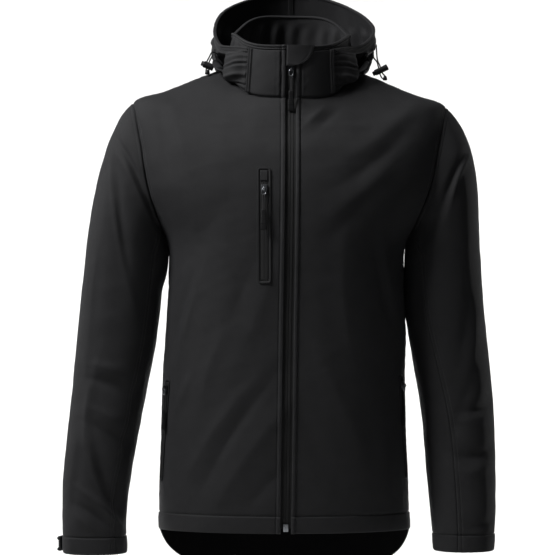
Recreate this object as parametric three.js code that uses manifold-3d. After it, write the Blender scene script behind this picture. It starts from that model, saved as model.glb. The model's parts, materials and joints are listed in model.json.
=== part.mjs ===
// Softshell jacket with a stand collar, a detachable hood, a full front zip, a zipped chest pocket and
// two zipped hand pockets. It keeps its worn form with nobody inside, so every panel is an open hollow wall.
// Millimetres, +Z up, the front faces -Y and the wearer's left is +X. The origin is the centre of the neck
// opening at the height where the shoulders carry the jacket.
//
// The body and the collar are rings: at each height a ring has a half width, a depth to the front, a depth
// to the back and a roundness. "at" runs up the garment from the hem, over the shoulder, to the neck seam
// and on up the collar. "turn" runs round it in degrees: 0 is the zip, 90 the wearer's left side seam.

import * as THREE from "three";
import { mergeVertices } from "three/addons/utils/BufferGeometryUtils.js";
import Module from "manifold-3d";

const wasm = await Module();
wasm.setup();

// Driving sizes
const CLOTH = 1.6;
const SEAM_GAP = 0.3;
const ARMHOLE_GAP = 0.45; // from the seam line to the sleeve
const COLLAR_GAP = 0.35; // from the seam line to the collar
const LAID_GAP = 0.6;
const ZIP_HALF = 7.7; // from the zip's middle to the folded edge of each front
const EDGE_WIDTH = 6; // the raised, topstitched edge along the zip and round the collar
const EDGE_RISE = 1.1;
const HEM_RISE = 0.8;
const HEM_DEEP = 25;
const CUFF_DEEP = 26;
const ROUND_STEPS = 20; // sleeve faces round the armhole
const ARMHOLE_LOW = 455;
const ARMHOLE_TOP = 650;
const NECK_SEAM = 805;
const COLLAR_TOP = 885;
const COLLAR_EDGE = 43; // turn of the free edge of the collar's front panel, where the hood starts
// Angles round the armhole, from the shoulder round the front, of the seams between top and under sleeve
const SEAM_ANGLE = 144;
const BACK_SEAM_ANGLE = 234;

// Ring tables. side is the height at the side seam, front and back are how far the ring rises from it at the
// zip and at the middle of the back, and ease is how late it does. half, fore and aft are its half width and
// its depths.
const BODY_ROWS = [
  { at: 0, side: -681, front: 5, back: -71, ease: 1.15, half: 192.5, fore: 124, aft: 103, round: 2.35 },
  { at: 60, side: -622, front: 3, back: -57, ease: 1.5, half: 191.5, fore: 127, aft: 107, round: 2.35 },
  { at: 160, side: -522, front: 0, back: -25, ease: 2.5, half: 188, fore: 130, aft: 110, round: 2.35 },
  { at: 300, side: -382, front: 0, back: -6, ease: 3, half: 184.5, fore: 128, aft: 106, round: 2.35 },
  { at: 400, side: -290, front: 0, back: 0, ease: 4, half: 180.5, fore: 130, aft: 111, round: 2.3 },
  { at: ARMHOLE_LOW, side: -236, front: 0, back: 0, ease: 4, half: 186, fore: 131, aft: 117, round: 2.3 },
  { at: 530, side: -160, front: -3, back: 2, ease: 4, half: 236, fore: 127, aft: 121, round: 2.25 },
  { at: 590, side: -92, front: -16, back: 4, ease: 4, half: 249, fore: 116, aft: 117, round: 2.2 },
  { at: ARMHOLE_TOP, side: -31, front: -42, back: 11, ease: 4, half: 240, fore: 100, aft: 106, round: 2.1 },
  { at: 700, side: -13, front: -48, back: 16, ease: 3.6, half: 193, fore: 95, aft: 100, round: 2.05 },
  { at: 750, side: 6.5, front: -52, back: 17, ease: 2.8, half: 145, fore: 89, aft: 92, round: 2 },
  { at: NECK_SEAM, side: 26, front: -52, back: 12, ease: 1.8, half: 96, fore: 82, aft: 82, round: 2 },
];
const COLLAR_ROWS = [
  { at: NECK_SEAM, side: 26, front: -52, back: 12, ease: 1.8, half: 96, fore: 82, aft: 82, round: 2 },
  { at: 845, side: 52, front: -39, back: 25, ease: 2.2, half: 93, fore: 86, aft: 72, round: 2 },
  { at: COLLAR_TOP, side: 79, front: -26, back: 36, ease: 2.6, half: 90, fore: 86, aft: 62, round: 2 },
];
// Middle of the rings, and middle of the zip, from the origin to the wearer's left.
const LEAN_ROWS = [
  { z: -760, middle: 2, zip: 2 },
  { z: -690, middle: -2, zip: -0.8 },
  { z: -620, middle: -3.3, zip: 0.2 },
  { z: -450, middle: -3.3, zip: 2.4 },
  { z: -385, middle: -0.5, zip: 3.2 },
  { z: -250, middle: 1, zip: 5.4 },
  { z: -110, middle: 5, zip: 6.9 },
  { z: 0, middle: 5.5, zip: 7.3 },
  { z: 90, middle: 8.5, zip: 8.5 },
  { z: 130, middle: 8.5, zip: 8.5 },
];
// How far the armhole seam stands from the middle of the body
const ARMHOLE_ROWS = [
  { at: ARMHOLE_LOW, out: 186 },
  { at: 530, out: 213 },
  { at: 590, out: 226 },
  { at: ARMHOLE_TOP, out: 240 },
];
// Arm rings below the sleeve cap: height, how far out the outer and inner edges stand, middle and half depth.
const ARMS = {
  right: {
    side: -1,
    twist: 12,
    capOut: 0.82,
    capDown: 0.57,
    capFull: 152,
    tab: { from: -78, to: 4, lift: 2.6 },
    rows: [
      { z: -262, outer: 309, inner: 187, mid: 4, deep: 68 },
      { z: -382, outer: 321, inner: 198, mid: 2, deep: 64 },
      { z: -485, outer: 330, inner: 217, mid: -8, deep: 58 },
      { z: -594, outer: 340, inner: 236, mid: -26, deep: 51 },
      { z: -660, outer: 340.5, inner: 243, mid: -38, deep: 45 },
      { z: -713, outer: 338, inner: 242, mid: -46, deep: 39 },
    ],
  },
  left: {
    side: 1,
    twist: 41,
    capOut: 0.76,
    capDown: 0.65,
    capFull: 232,
    tab: { from: -150, to: -68, lift: 0.8 },
    rows: [
      { z: -262, outer: 299.5, inner: 188, mid: 4, deep: 68 },
      { z: -357, outer: 306, inner: 187, mid: 3, deep: 65 },
      { z: -414, outer: 312, inner: 194, mid: 0, deep: 62 },
      { z: -504, outer: 319, inner: 208, mid: -10, deep: 57 },
      { z: -590, outer: 320, inner: 214.5, mid: -24, deep: 51 },
      { z: -660, outer: 318.5, inner: 220.5, mid: -37, deep: 45 },
      { z: -709, outer: 315, inner: 224, mid: -45, deep: 39 },
    ],
  },
};
// Folds, seen from the front: middle, lean of the top to +X in degrees, half length, half width and rise.
const BODY_FOLDS = [
  { x: -82, z: -531, lean: 32, long: 95, wide: 12, rise: -5 },
  { x: -62, z: -568, lean: 34, long: 115, wide: 15, rise: 5 },
  { x: -151, z: -370, lean: 12, long: 60, wide: 8, rise: 3.5 },
  { x: -71, z: -328, lean: 25, long: 75, wide: 15, rise: -4 },
  { x: -182, z: -103, lean: -10, long: 45, wide: 10, rise: -3 },
  { x: 62, z: -62, lean: 44, long: 32, wide: 9, rise: 4 },
  { x: 137, z: -119, lean: 50, long: 70, wide: 14, rise: -4 },
  { x: 86, z: -331, lean: -5, long: 85, wide: 13, rise: 3.5 },
  { x: 155, z: -305, lean: -12, long: 60, wide: 9, rise: 4 },
  { x: 98, z: -477, lean: -15, long: 110, wide: 18, rise: 4 },
];
const BACK_FOLDS = [
  { x: -110, z: -250, lean: -28, long: 90, wide: 14, rise: -4 },
  { x: 115, z: -260, lean: 24, long: 95, wide: 15, rise: -4 },
  { x: -55, z: -470, lean: 12, long: 110, wide: 18, rise: 4 },
  { x: 70, z: -500, lean: -16, long: 120, wide: 17, rise: 4 },
  { x: 10, z: -340, lean: 80, long: 90, wide: 14, rise: -3 },
];
const SLEEVE_FOLDS = {
  right: [
    { x: -226, z: -143, lean: -21, long: 62, wide: 7, rise: -5 },
    { x: -257, z: -239, lean: -6, long: 80, wide: 10, rise: -4 },
    { x: -276, z: -208, lean: -4, long: 80, wide: 8, rise: 3 },
    { x: -271, z: -419, lean: -70, long: 26, wide: 10, rise: -4 },
    { x: -266, z: -462, lean: -66, long: 28, wide: 10, rise: -6 },
    { x: -262, z: -507, lean: -72, long: 24, wide: 9, rise: -5 },
    { x: -302, z: -619, lean: -25, long: 32, wide: 9, rise: -4 },
    { x: -289, z: -661, lean: -60, long: 24, wide: 8, rise: -4 },
  ],
  left: [
    { x: 240, z: -146, lean: 22, long: 52, wide: 7, rise: -5 },
    { x: 292, z: -377, lean: 7, long: 65, wide: 10, rise: 3 },
    { x: 300, z: -491, lean: 70, long: 24, wide: 9, rise: -5 },
    { x: 298, z: -521, lean: 76, long: 24, wide: 9, rise: 4 },
    { x: 281, z: -559, lean: 80, long: 28, wide: 10, rise: -6 },
    { x: 286, z: -668, lean: 84, long: 20, wide: 8, rise: -4 },
  ],
};
const SLEEVE_BACK_FOLDS = [
  { x: 262, z: -445, lean: 72, long: 34, wide: 11, rise: -5 },
  { x: 268, z: -490, lean: 84, long: 30, wide: 10, rise: -5 },
  { x: 255, z: -190, lean: 14, long: 60, wide: 10, rise: -4 },
  { x: 280, z: -640, lean: 66, long: 24, wide: 9, rise: -4 },
];
// Hood: the rim is a tilted oval and the bag hangs behind the neck.
const HOOD = {
  rimHalf: 124,
  rimMid: 40,
  rimDeep: 108,
  rimTurn: 145,
  rimFront: 46,
  rimTilt: 0.585,
  rimDip: 6,
  rimAside: 4.5,
  rimSkew: 6,
};
const HOOD_MIDDLE = { x: 8.5, y: 20 }; // the hood spreads out from here
const BAG = {
  aside: 3,
  low: 27,
  lowBack: 51,
  slope: 0.36,
  slopeBack: 1.11,
  rimOut: 4,
  rimBack: 108,
  rimDrop: 50,
  rimDropBack: 187,
};
const HOOD_STAND = 3.6; // gap from the collar's surface to the hood's outer face at its front edge
// Pocket zips: heights of their ends, width of the zip inside its frame of turned cloth, how far down the
// slider is and how far it stands off the panel.
const POCKETS = {
  chest_pocket: { side: -1, place: "chest", top: -134, bottom: -305, zip: 12, drop: 27, lift: 1.9 },
  side_pocket_right: { side: -1, place: "hip", top: -450, bottom: -605, zip: 8, drop: 12, lift: 2.7 },
  side_pocket_left: { side: 1, place: "hip", top: -444, bottom: -601, zip: 8, drop: 12, lift: 2.7 },
};
const CHEST_FROM = 28.2; // from the front's middle to the near edge of the chest pocket, at its middle
const CHEST_LEAN = 0.018; // how much farther out its near edge is for each mm up
const CHEST_WIDE = 20;
const HIP_WIDE = 15;
// Turn of the middle line of the hand pocket, which goes on up the panel as a line of its mesh.
const HIP_LINE = [
  { at: 0, turn: 76.5 },
  { at: 80, turn: 76 },
  { at: 230, turn: 69 },
  { at: 400, turn: 62 },
  { at: ARMHOLE_LOW, turn: 58 },
  { at: 530, turn: 44 },
  { at: 590, turn: 42 },
  { at: ARMHOLE_TOP, turn: 52 },
  { at: NECK_SEAM, turn: 58 },
];

const rad = THREE.MathUtils.degToRad;
const lerp = THREE.MathUtils.lerp;
const smooth = THREE.MathUtils.smoothstep;
const point = (x, y, z) => new THREE.Vector3(x, y, z);

// Smooth value of one column of a table at a position along it.
function along(rows, key, position, column) {
  const last = rows.length - 1;
  const rising = rows[last][key] > rows[0][key];
  let i = 0;
  while (i < last - 1 && (rising ? position > rows[i + 1][key] : position < rows[i + 1][key])) i += 1;
  const slope = (k) => {
    const a = Math.max(k - 1, 0);
    const b = Math.min(k + 1, last);
    return (rows[b][column] - rows[a][column]) / (rows[b][key] - rows[a][key]);
  };
  const span = rows[i + 1][key] - rows[i][key];
  const t = (position - rows[i][key]) / span;
  const a = rows[i][column];
  const b = rows[i + 1][column];
  return (
    a * (1 + 2 * t) * (1 - t) ** 2 +
    b * t * t * (3 - 2 * t) +
    slope(i) * span * t * (1 - t) ** 2 -
    slope(i + 1) * span * t * t * (1 - t)
  );
}

const raised = (value, power) => Math.sign(value) * Math.abs(value) ** power;

// A point of the body or collar.
function body(at, turn) {
  const rows = at < NECK_SEAM ? BODY_ROWS : COLLAR_ROWS;
  const value = (column) => along(rows, "at", at, column);
  const across = Math.sin(rad(turn));
  const ahead = Math.cos(rad(turn));
  const power = 2 / value("round");
  const half = value("half");
  const x = half * raised(across, power);
  const y = -raised(ahead, power) * value(ahead > 0 ? "fore" : "aft");
  const toward = Math.sin((Math.abs(ahead) * Math.PI) / 2) ** value("ease");
  const z = value("side") + value(ahead > 0 ? "front" : "back") * toward;
  // The worn jacket leans a little to the wearer's left, and its left shoulder is the lower one.
  const level = Math.min(z, 129);
  const middle = along(LEAN_ROWS, "z", level, "middle");
  const zip = along(LEAN_ROWS, "z", level, "zip") - middle;
  const fall = 0.0145 * x * smooth(z, -300, -90);
  return point(x + middle + zip * (1 - Math.min(1, (x / half) ** 2)), y, z - fall);
}

// The turn at which the ring at a height stands at a distance x from the middle.
function turnAt(at, x) {
  const rows = at < NECK_SEAM ? BODY_ROWS : COLLAR_ROWS;
  const share = Math.min(1, Math.abs(x) / along(rows, "at", at, "half"));
  const angle = THREE.MathUtils.radToDeg(Math.asin(share ** (along(rows, "at", at, "round") / 2)));
  return Math.sign(x) * angle;
}

// Outward normal of a surface by central differences. The two directions and the sign set which way is out.
function normalOf(surface, u, v, du, dv, sign) {
  const across = surface(u, v + dv).sub(surface(u, v - dv));
  const up = surface(u + du, v).sub(surface(u - du, v));
  return across.cross(up).multiplyScalar(sign).normalize();
}
const bodyNormal = (at, turn) => {
  const low = at < NECK_SEAM ? 0.5 : NECK_SEAM + 0.5;
  const high = at < NECK_SEAM ? NECK_SEAM - 0.6 : COLLAR_TOP - 0.5;
  return normalOf(body, THREE.MathUtils.clamp(at, low, high), turn, 0.5, 0.5, 1);
};

// Height of the folds at a place seen from the front.
function foldRise(folds, p) {
  let rise = 0;
  for (const fold of folds) {
    const dx = p.x - fold.x;
    const dz = p.z - fold.z;
    const c = Math.cos(rad(fold.lean));
    const s = Math.sin(rad(fold.lean));
    const side = (dx * c - dz * s) / fold.wide;
    const length = (dx * s + dz * c) / fold.long;
    rise += fold.rise * Math.exp(-side * side - length * length);
  }
  return rise;
}

// Draws the edges of a grid back along the cloth by half a seam's gap. The first row may need more, where two
// panels meet at a sharp angle.
function trimmed(grid, first = SEAM_GAP / 2) {
  const last = grid.length - 1;
  const end = grid[0].length - 1;
  const towards = (cell, next, back = SEAM_GAP / 2) => {
    const shift = next.outer.clone().sub(cell.outer).setLength(back);
    return { ...cell, outer: cell.outer.clone().add(shift), inner: cell.inner.clone().add(shift) };
  };
  const rows = grid.map((row) => {
    const sides = [towards(row[0], row[1]), towards(row[end], row[end - 1])];
    return [sides[0], ...row.slice(1, end), sides[1]];
  });
  return [
    rows[0].map((cell, j) => towards(cell, grid[1][j], first)),
    ...rows.slice(1, last),
    rows[last].map((cell, j) => towards(cell, grid[last - 1][j])),
  ];
}

// A closed wall from a grid of points: each entry has its outer and inner point.
function wall(grid) {
  const rows = grid.length;
  const columns = grid[0].length;
  const corners = [];
  const index = (i, j, inner) => (i * columns + j) * 2 + (inner ? 1 : 0);
  grid.flat().forEach(({ outer, inner }) => corners.push(...outer.toArray(), ...inner.toArray()));
  const faces = [];
  const quad = (a, b, c, d) => faces.push(a, b, c, a, c, d);
  for (let i = 0; i < rows - 1; i += 1)
    for (let j = 0; j < columns - 1; j += 1) {
      quad(index(i, j), index(i, j + 1), index(i + 1, j + 1), index(i + 1, j));
      quad(index(i, j, 1), index(i + 1, j, 1), index(i + 1, j + 1, 1), index(i, j + 1, 1));
    }
  for (let j = 0; j < columns - 1; j += 1) {
    quad(index(0, j, 1), index(0, j + 1, 1), index(0, j + 1), index(0, j));
    quad(index(rows - 1, j), index(rows - 1, j + 1), index(rows - 1, j + 1, 1), index(rows - 1, j, 1));
  }
  const end = columns - 1;
  for (let i = 0; i < rows - 1; i += 1) {
    quad(index(i, 0), index(i + 1, 0), index(i + 1, 0, 1), index(i, 0, 1));
    quad(index(i, end, 1), index(i + 1, end, 1), index(i + 1, end), index(i, end));
  }
  return facingOut(corners, faces);
}

// Turns the faces round if the closed shape is inside out.
function facingOut(corners, faces) {
  let volume = 0;
  const corner = (k) => point(corners[3 * k], corners[3 * k + 1], corners[3 * k + 2]);
  for (let k = 0; k < faces.length; k += 3)
    volume += corner(faces[k]).dot(corner(faces[k + 1]).cross(corner(faces[k + 2])));
  if (volume < 0) {
    for (let k = 0; k < faces.length; k += 3) {
      [faces[k + 1], faces[k + 2]] = [faces[k + 2], faces[k + 1]];
    }
  }
  const geometry = new THREE.BufferGeometry();
  geometry.setAttribute("position", new THREE.Float32BufferAttribute(corners, 3));
  geometry.setIndex(faces);
  return geometry;
}

// Materials
const cloth = new THREE.MeshStandardMaterial({ color: 0x1d1d1e, roughness: 0.8, metalness: 0 });
const tape = new THREE.MeshStandardMaterial({ color: 0x141415, roughness: 0.6, metalness: 0 });
const metal = new THREE.MeshStandardMaterial({ color: 0x8f9196, roughness: 0.3, metalness: 1 });
const plastic = new THREE.MeshStandardMaterial({ color: 0x1a1a1b, roughness: 0.45, metalness: 0 });
const elastic = new THREE.MeshStandardMaterial({ color: 0x151516, roughness: 0.75, metalness: 0 });

const jacket = new THREE.Group();
function add(name, geometry, material, parent = jacket) {
  const mesh = new THREE.Mesh(geometry, material);
  mesh.name = name;
  parent.add(mesh);
  return mesh;
}

// Rise of the topstitched edge at a distance from it.
const edgeRelief = (distance) => (distance < EDGE_WIDTH ? EDGE_RISE : 0);
const hemRelief = (at) => (at < HEM_DEEP ? HEM_RISE : 0);

// Height "at" of the armhole seam at an angle round it: 0 at the shoulder, 180 at the underarm.
function armholeHeight(angle) {
  return lerp(ARMHOLE_LOW, ARMHOLE_TOP, (1 + Math.cos(rad(angle))) / 2);
}

// Heights of the rows: the hem, up the side seam, round the armhole as the sleeve divides it, and over the
// shoulder.
const SIDE_ROWS = 12;
const sideHeight = (k) => lerp(HEM_DEEP, ARMHOLE_LOW, (k + 1) / (SIDE_ROWS + 1));
const roundHeight = (k) => armholeHeight(180 - (k * 360) / ROUND_STEPS);
const counted = (count, make) => Array.from({ length: count }, (_, k) => make(k));
const BODY_HEIGHTS = [
  0,
  HEM_DEEP - 0.6,
  HEM_DEEP + 0.6,
  ...counted(SIDE_ROWS, sideHeight),
  ...counted(ROUND_STEPS / 2 + 1, roundHeight),
  680,
  710,
  742,
  775,
  NECK_SEAM,
];

// Turn of a front or back panel's outer edge.
function outerTurn(at) {
  const inArmhole = at > ARMHOLE_LOW + 0.01 && at < ARMHOLE_TOP - 0.01;
  return inArmhole ? turnAt(at, along(ARMHOLE_ROWS, "at", at, "out")) : 90;
}

// One place on a panel: the outer and inner point of the cloth and the way out.
function bodyCell(at, turn, relief, folds) {
  const surface = body(at, turn);
  const normal = bodyNormal(at, turn);
  const edge = outerTurn(at);
  const fromEdge = edge - Math.min(Math.abs(turn), 360 - Math.abs(turn), Math.abs(180 - Math.abs(turn)));
  const fade = smooth(fromEdge, 0, 16) * smooth(at, 10, 60) * (1 - smooth(at, 700, 790));
  const rise = foldRise(folds, surface) * fade;
  const lifted = at > NECK_SEAM - 0.01 ? 0 : rise + relief;
  return {
    outer: surface.clone().addScaledVector(normal, lifted),
    inner: surface.clone().addScaledVector(normal, Math.min(rise, lifted) - CLOTH),
    normal,
  };
}

// Columns of a front panel from the zip to the side, armhole or shoulder seam. Each pocket lies between two.
const ZIP_COLUMNS = [ZIP_HALF, ZIP_HALF + EDGE_WIDTH - 0.4, ZIP_HALF + EDGE_WIDTH + 0.6];
const CHEST_COLUMN = ZIP_COLUMNS.length;
const HIP_COLUMN = CHEST_COLUMN + 4;
function frontTurns(at) {
  const chest = CHEST_FROM + CHEST_LEAN * THREE.MathUtils.clamp(at - 480, -120, 120);
  const near = [...ZIP_COLUMNS, chest, chest + CHEST_WIDE].map((x) => turnAt(at, x));
  const hip = along(HIP_LINE, "at", at, "turn");
  const speed = body(at, hip + 0.5).distanceTo(body(at, hip - 0.5));
  const before = hip - HIP_WIDE / 2 / speed;
  const after = hip + HIP_WIDE / 2 / speed;
  const last = near[near.length - 1];
  const outside = outerTurn(at);
  const between = [lerp(last, before, 0.34), lerp(last, before, 0.68)];
  return [...near, ...between, before, after, lerp(after, outside, 0.5), outside];
}
function frontGrid(side) {
  return BODY_HEIGHTS.map((at) =>
    frontTurns(at).map((turn, k) => {
      const relief = Math.max(k < 2 ? EDGE_RISE : 0, hemRelief(at));
      return bodyCell(at, side * turn, relief, BODY_FOLDS);
    }),
  );
}
const FRONTS = { right: frontGrid(-1), left: frontGrid(1) };

const BACK_COLUMNS = 12;
function backGrid() {
  return BODY_HEIGHTS.map((at) => {
    const edge = outerTurn(at);
    return counted(BACK_COLUMNS + 1, (k) =>
      bodyCell(at, lerp(180 - edge, 180 + edge, k / BACK_COLUMNS), hemRelief(at), BACK_FOLDS),
    );
  });
}

// Stand collar: open at the zip, with a raised edge round its top.
function collarGrid() {
  const edge = COLLAR_TOP - EDGE_WIDTH;
  const heights = [NECK_SEAM, 824, 845, 864, edge - 0.6, edge + 0.4, COLLAR_TOP];
  // The columns go on from those of the panels below.
  const rest = frontTurns(NECK_SEAM).slice(ZIP_COLUMNS.length);
  const behind = counted(BACK_COLUMNS / 2, (k) => 90 + (180 * (k + 1)) / BACK_COLUMNS);
  return heights.map((at) => {
    const half = [...ZIP_COLUMNS.map((x) => turnAt(at, x)), ...rest, ...behind];
    const turns = [...half, ...half.slice(0, -1).map((turn) => 360 - turn).reverse()];
    return turns.map((turn, k, all) => {
      const besideZip = k < 2 || k > all.length - 3 ? EDGE_RISE : 0;
      const relief = at < NECK_SEAM + 1 ? 0 : Math.max(besideZip, edgeRelief(COLLAR_TOP - at));
      const surface = body(at, turn);
      const normal = bodyNormal(at, turn);
      return {
        outer: surface.clone().addScaledVector(normal, relief),
        inner: surface.clone().addScaledVector(normal, -CLOTH),
        normal,
      };
    });
  });
}

// A plate over the smooth surface, from the heights and turns of its points.
function plate(heights, turnsAt, lift, thick) {
  return wall(
    heights.map((at) =>
      turnsAt(at).map((turn) => {
        const surface = body(at, turn);
        const normal = bodyNormal(at, turn);
        const base = typeof lift === "function" ? lift(at, turn) : lift;
        return {
          outer: surface.clone().addScaledVector(normal, base + thick),
          inner: surface.clone().addScaledVector(normal, base),
        };
      }),
    ),
  );
}

// A place on a panel's own mesh, at a row and column that may lie between two of them.
function onGrid(grid, row, column) {
  const i = Math.min(Math.floor(row), grid.length - 2);
  const j = Math.min(Math.floor(column), grid[0].length - 2);
  const mix = (key) => {
    const low = grid[i][j][key].clone().lerp(grid[i][j + 1][key], column - j);
    return low.lerp(grid[i + 1][j][key].clone().lerp(grid[i + 1][j + 1][key], column - j), row - i);
  };
  return { outer: mix("outer"), normal: mix("normal").normalize() };
}

// A strip laid on a panel between two of its columns, made from the panel's points, moved out.
function strip(grid, rows, columns, lift, thick) {
  return wall(
    rows.map((row) =>
      columns.map((column) => {
        const { outer, normal } = onGrid(grid, row, column);
        return {
          outer: outer.clone().addScaledVector(normal, lift + thick),
          inner: outer.clone().addScaledVector(normal, lift),
        };
      }),
    ),
  );
}

// Front panel of the collar: laid over it from the zip's edge to a free upright edge that holds the hood.
function collarFront(side) {
  const heights = [NECK_SEAM + 2, 824, 845, 864, COLLAR_TOP - EDGE_WIDTH - 2.4];
  const start = ZIP_HALF + EDGE_WIDTH + 2.4;
  const turnsAt = (at) => {
    const from = turnAt(at, start);
    return [0, 0.18, 0.36, 0.54, 0.72, 0.86, 0.9, 1].map((share) => side * lerp(from, COLLAR_EDGE, share));
  };
  const lift = (at, turn) => LAID_GAP + (Math.abs(turn) > COLLAR_EDGE * 0.88 ? 1.4 : 0);
  return plate(heights, turnsAt, lift, 1.3);
}

// Half-round guard over the top end of the zip.
function chinGuard() {
  const right = 34;
  const top = COLLAR_TOP - 0.5;
  const deep = 32;
  const steps = 6;
  const heights = counted(steps + 1, (k) => top - deep * (1 - Math.sin(rad((k / steps) * 90))));
  const turnsAt = (at) => {
    const share = (top - at) / deep;
    const reach = lerp(-ZIP_HALF + 0.8, right, 0.12 + 0.88 * Math.sqrt(Math.max(0, 1 - share * share)));
    return [0, 0.25, 0.5, 0.75, 1].map((part) => turnAt(at, lerp(-ZIP_HALF + 0.8, reach, part)));
  };
  return plate(heights, turnsAt, EDGE_RISE + 1.7, 1.3);
}

// Half of the zip's tape, behind the fronts and the collar.
function zipTape(side) {
  const thick = 1.1;
  const out = -CLOTH - SEAM_GAP - 0.1;
  const heights = [8, ...BODY_HEIGHTS.slice(1), 824, 845, 864, COLLAR_TOP - 3];
  return wall(
    heights.map((at) =>
      [0.15, 4, ...ZIP_COLUMNS.slice(0, 2)].map((x) => {
        const turn = side * turnAt(at, x);
        const cell = bodyCell(at, turn, 0, BODY_FOLDS);
        const folded = cell.inner.clone().addScaledVector(cell.normal, CLOTH);
        const surface = at > NECK_SEAM - 0.01 ? body(at, turn) : folded;
        const rise = x < 5 ? 0.7 : 0;
        return {
          outer: surface.clone().addScaledVector(cell.normal, out + rise),
          inner: surface.clone().addScaledVector(cell.normal, out - thick),
        };
      }),
    ),
  );
}

// The "at" of the front at a height z and distance x, found by halving.
function atHeight(z, x) {
  let low = 0;
  let high = COLLAR_TOP;
  for (let k = 0; k < 40; k += 1) {
    const middle = (low + high) / 2;
    if (body(middle, turnAt(middle, x)).z < z) low = middle;
    else high = middle;
  }
  return (low + high) / 2;
}

// The row, which may lie between two, at a height z down one column of a panel's mesh.
function rowAtHeight(grid, z, column) {
  let i = 0;
  while (i < grid.length - 2 && onGrid(grid, i + 1, column).outer.z < z) i += 1;
  const low = onGrid(grid, i, column).outer.z;
  const high = onGrid(grid, i + 1, column).outer.z;
  return i + (z - low) / (high - low);
}

// A pocket's frame of turned cloth and the zip's tape in it, both laid on the front.
function pocket(name, { side, place, top, bottom, zip, drop }) {
  const grid = side < 0 ? FRONTS.right : FRONTS.left;
  const column = place === "chest" ? CHEST_COLUMN : HIP_COLUMN;
  const wide = place === "chest" ? CHEST_WIDE : HIP_WIDE;
  const border = (wide - zip) / 2;
  const middle = column + 0.5;
  const row = (z) => rowAtHeight(grid, z, middle);
  const between = (from, to) => {
    const inner = counted(grid.length, (k) => k).filter((k) => k > from + 0.05 && k < to - 0.05);
    return [from, ...inner, to];
  };
  const across = [0, border / wide, 1 - border / wide, 1].map((share) => column + share);
  const low = row(bottom);
  const high = row(top);
  const lowIn = row(bottom + border);
  const highIn = row(top - border);
  const frame = [
    strip(grid, between(low, high), across.slice(0, 2), LAID_GAP, 1.5),
    strip(grid, between(low, high), across.slice(2), LAID_GAP, 1.5),
    strip(grid, [low, lowIn], across, LAID_GAP, 1.5),
    strip(grid, [highIn, high], across, LAID_GAP, 1.5),
  ];
  add(`${name}_welt`, joined(frame), cloth);
  const gap = 0.35;
  const inside = [column + (border + gap) / wide, column + 1 - (border + gap) / wide];
  const zipRows = between(row(bottom + border + gap), row(top - border - gap));
  add(`${name}_zip`, strip(grid, zipRows, inside, LAID_GAP, 0.8), tape);
  return onGrid(grid, row(top - border - drop), middle);
}

// manifold-3d joins and cuts
function solidOf(geometry) {
  const bare = geometry.index ? geometry.toNonIndexed() : geometry.clone();
  bare.deleteAttribute("normal");
  bare.deleteAttribute("uv");
  const merged = mergeVertices(bare, 1e-4);
  return new wasm.Manifold(
    new wasm.Mesh({
      numProp: 3,
      vertProperties: merged.attributes.position.array,
      triVerts: new Uint32Array(merged.index.array),
    }),
  );
}
function geometryOf(solid) {
  const mesh = solid.getMesh();
  const geometry = new THREE.BufferGeometry();
  geometry.setAttribute("position", new THREE.Float32BufferAttribute(mesh.vertProperties, 3));
  geometry.setIndex(new THREE.Uint32BufferAttribute(mesh.triVerts, 1));
  return geometry;
}
const joined = (geometries) => geometryOf(geometries.map(solidOf).reduce((a, b) => a.add(b)));
const cut = (geometry, tool) => geometryOf(solidOf(geometry).subtract(solidOf(tool)));

// Frame of a place on the cloth: X across, -Y out of the cloth, Z up along it.
function seat(place, lift) {
  const out = place.normal;
  const across = point(0, 0, 1).cross(out).normalize();
  const up = out.clone().cross(across).normalize();
  const origin = place.outer.clone().addScaledVector(out, lift);
  return new THREE.Matrix4().makeBasis(across, out.clone().negate(), up).setPosition(origin);
}

// Zip slider with its bail, in its own frame: X across, -Y out, Z up. The pull's cross bar turns under the
// bail.
const SLIDER = { wide: 9, tall: 12, thick: 2.4, bail: 1.7, bar: 1.5, reach: 2.6 };
function slider() {
  const outline = new THREE.Shape();
  outline.moveTo(-SLIDER.wide / 2, SLIDER.tall / 2);
  outline.lineTo(SLIDER.wide / 2, SLIDER.tall / 2);
  outline.lineTo(SLIDER.wide / 2, 0);
  outline.quadraticCurveTo(SLIDER.wide / 2, -SLIDER.tall / 2, 0, -SLIDER.tall / 2);
  outline.quadraticCurveTo(-SLIDER.wide / 2, -SLIDER.tall / 2, -SLIDER.wide / 2, 0);
  const flat = { depth: SLIDER.thick, bevelEnabled: false, curveSegments: 3 };
  const plateBody = new THREE.ExtrudeGeometry(outline, flat);
  plateBody.rotateX(Math.PI / 2);
  const arch = new THREE.Shape();
  const inside = SLIDER.bar / 2 + 0.6;
  const outside = inside + SLIDER.bail;
  arch.absarc(0, SLIDER.thick + SLIDER.reach / 2, outside, 0, Math.PI, false);
  arch.lineTo(-outside, SLIDER.thick - 0.4);
  arch.lineTo(-inside, SLIDER.thick - 0.4);
  arch.absarc(0, SLIDER.thick + SLIDER.reach / 2, inside, Math.PI, 0, true);
  arch.lineTo(inside, SLIDER.thick - 0.4);
  arch.lineTo(outside, SLIDER.thick - 0.4);
  const wire = { depth: SLIDER.bail, bevelEnabled: false, curveSegments: 4 };
  const bail = new THREE.ExtrudeGeometry(arch, wire);
  bail.translate(0, 0, -SLIDER.bail / 2);
  bail.applyMatrix4(new THREE.Matrix4().makeBasis(point(0, 0, 1), point(0, -1, 0), point(1, 0, 0)));
  return joined([plateBody, bail]);
}
const PIVOT = SLIDER.thick + SLIDER.reach / 2; // height of the pull's cross bar above the slider's back

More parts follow.
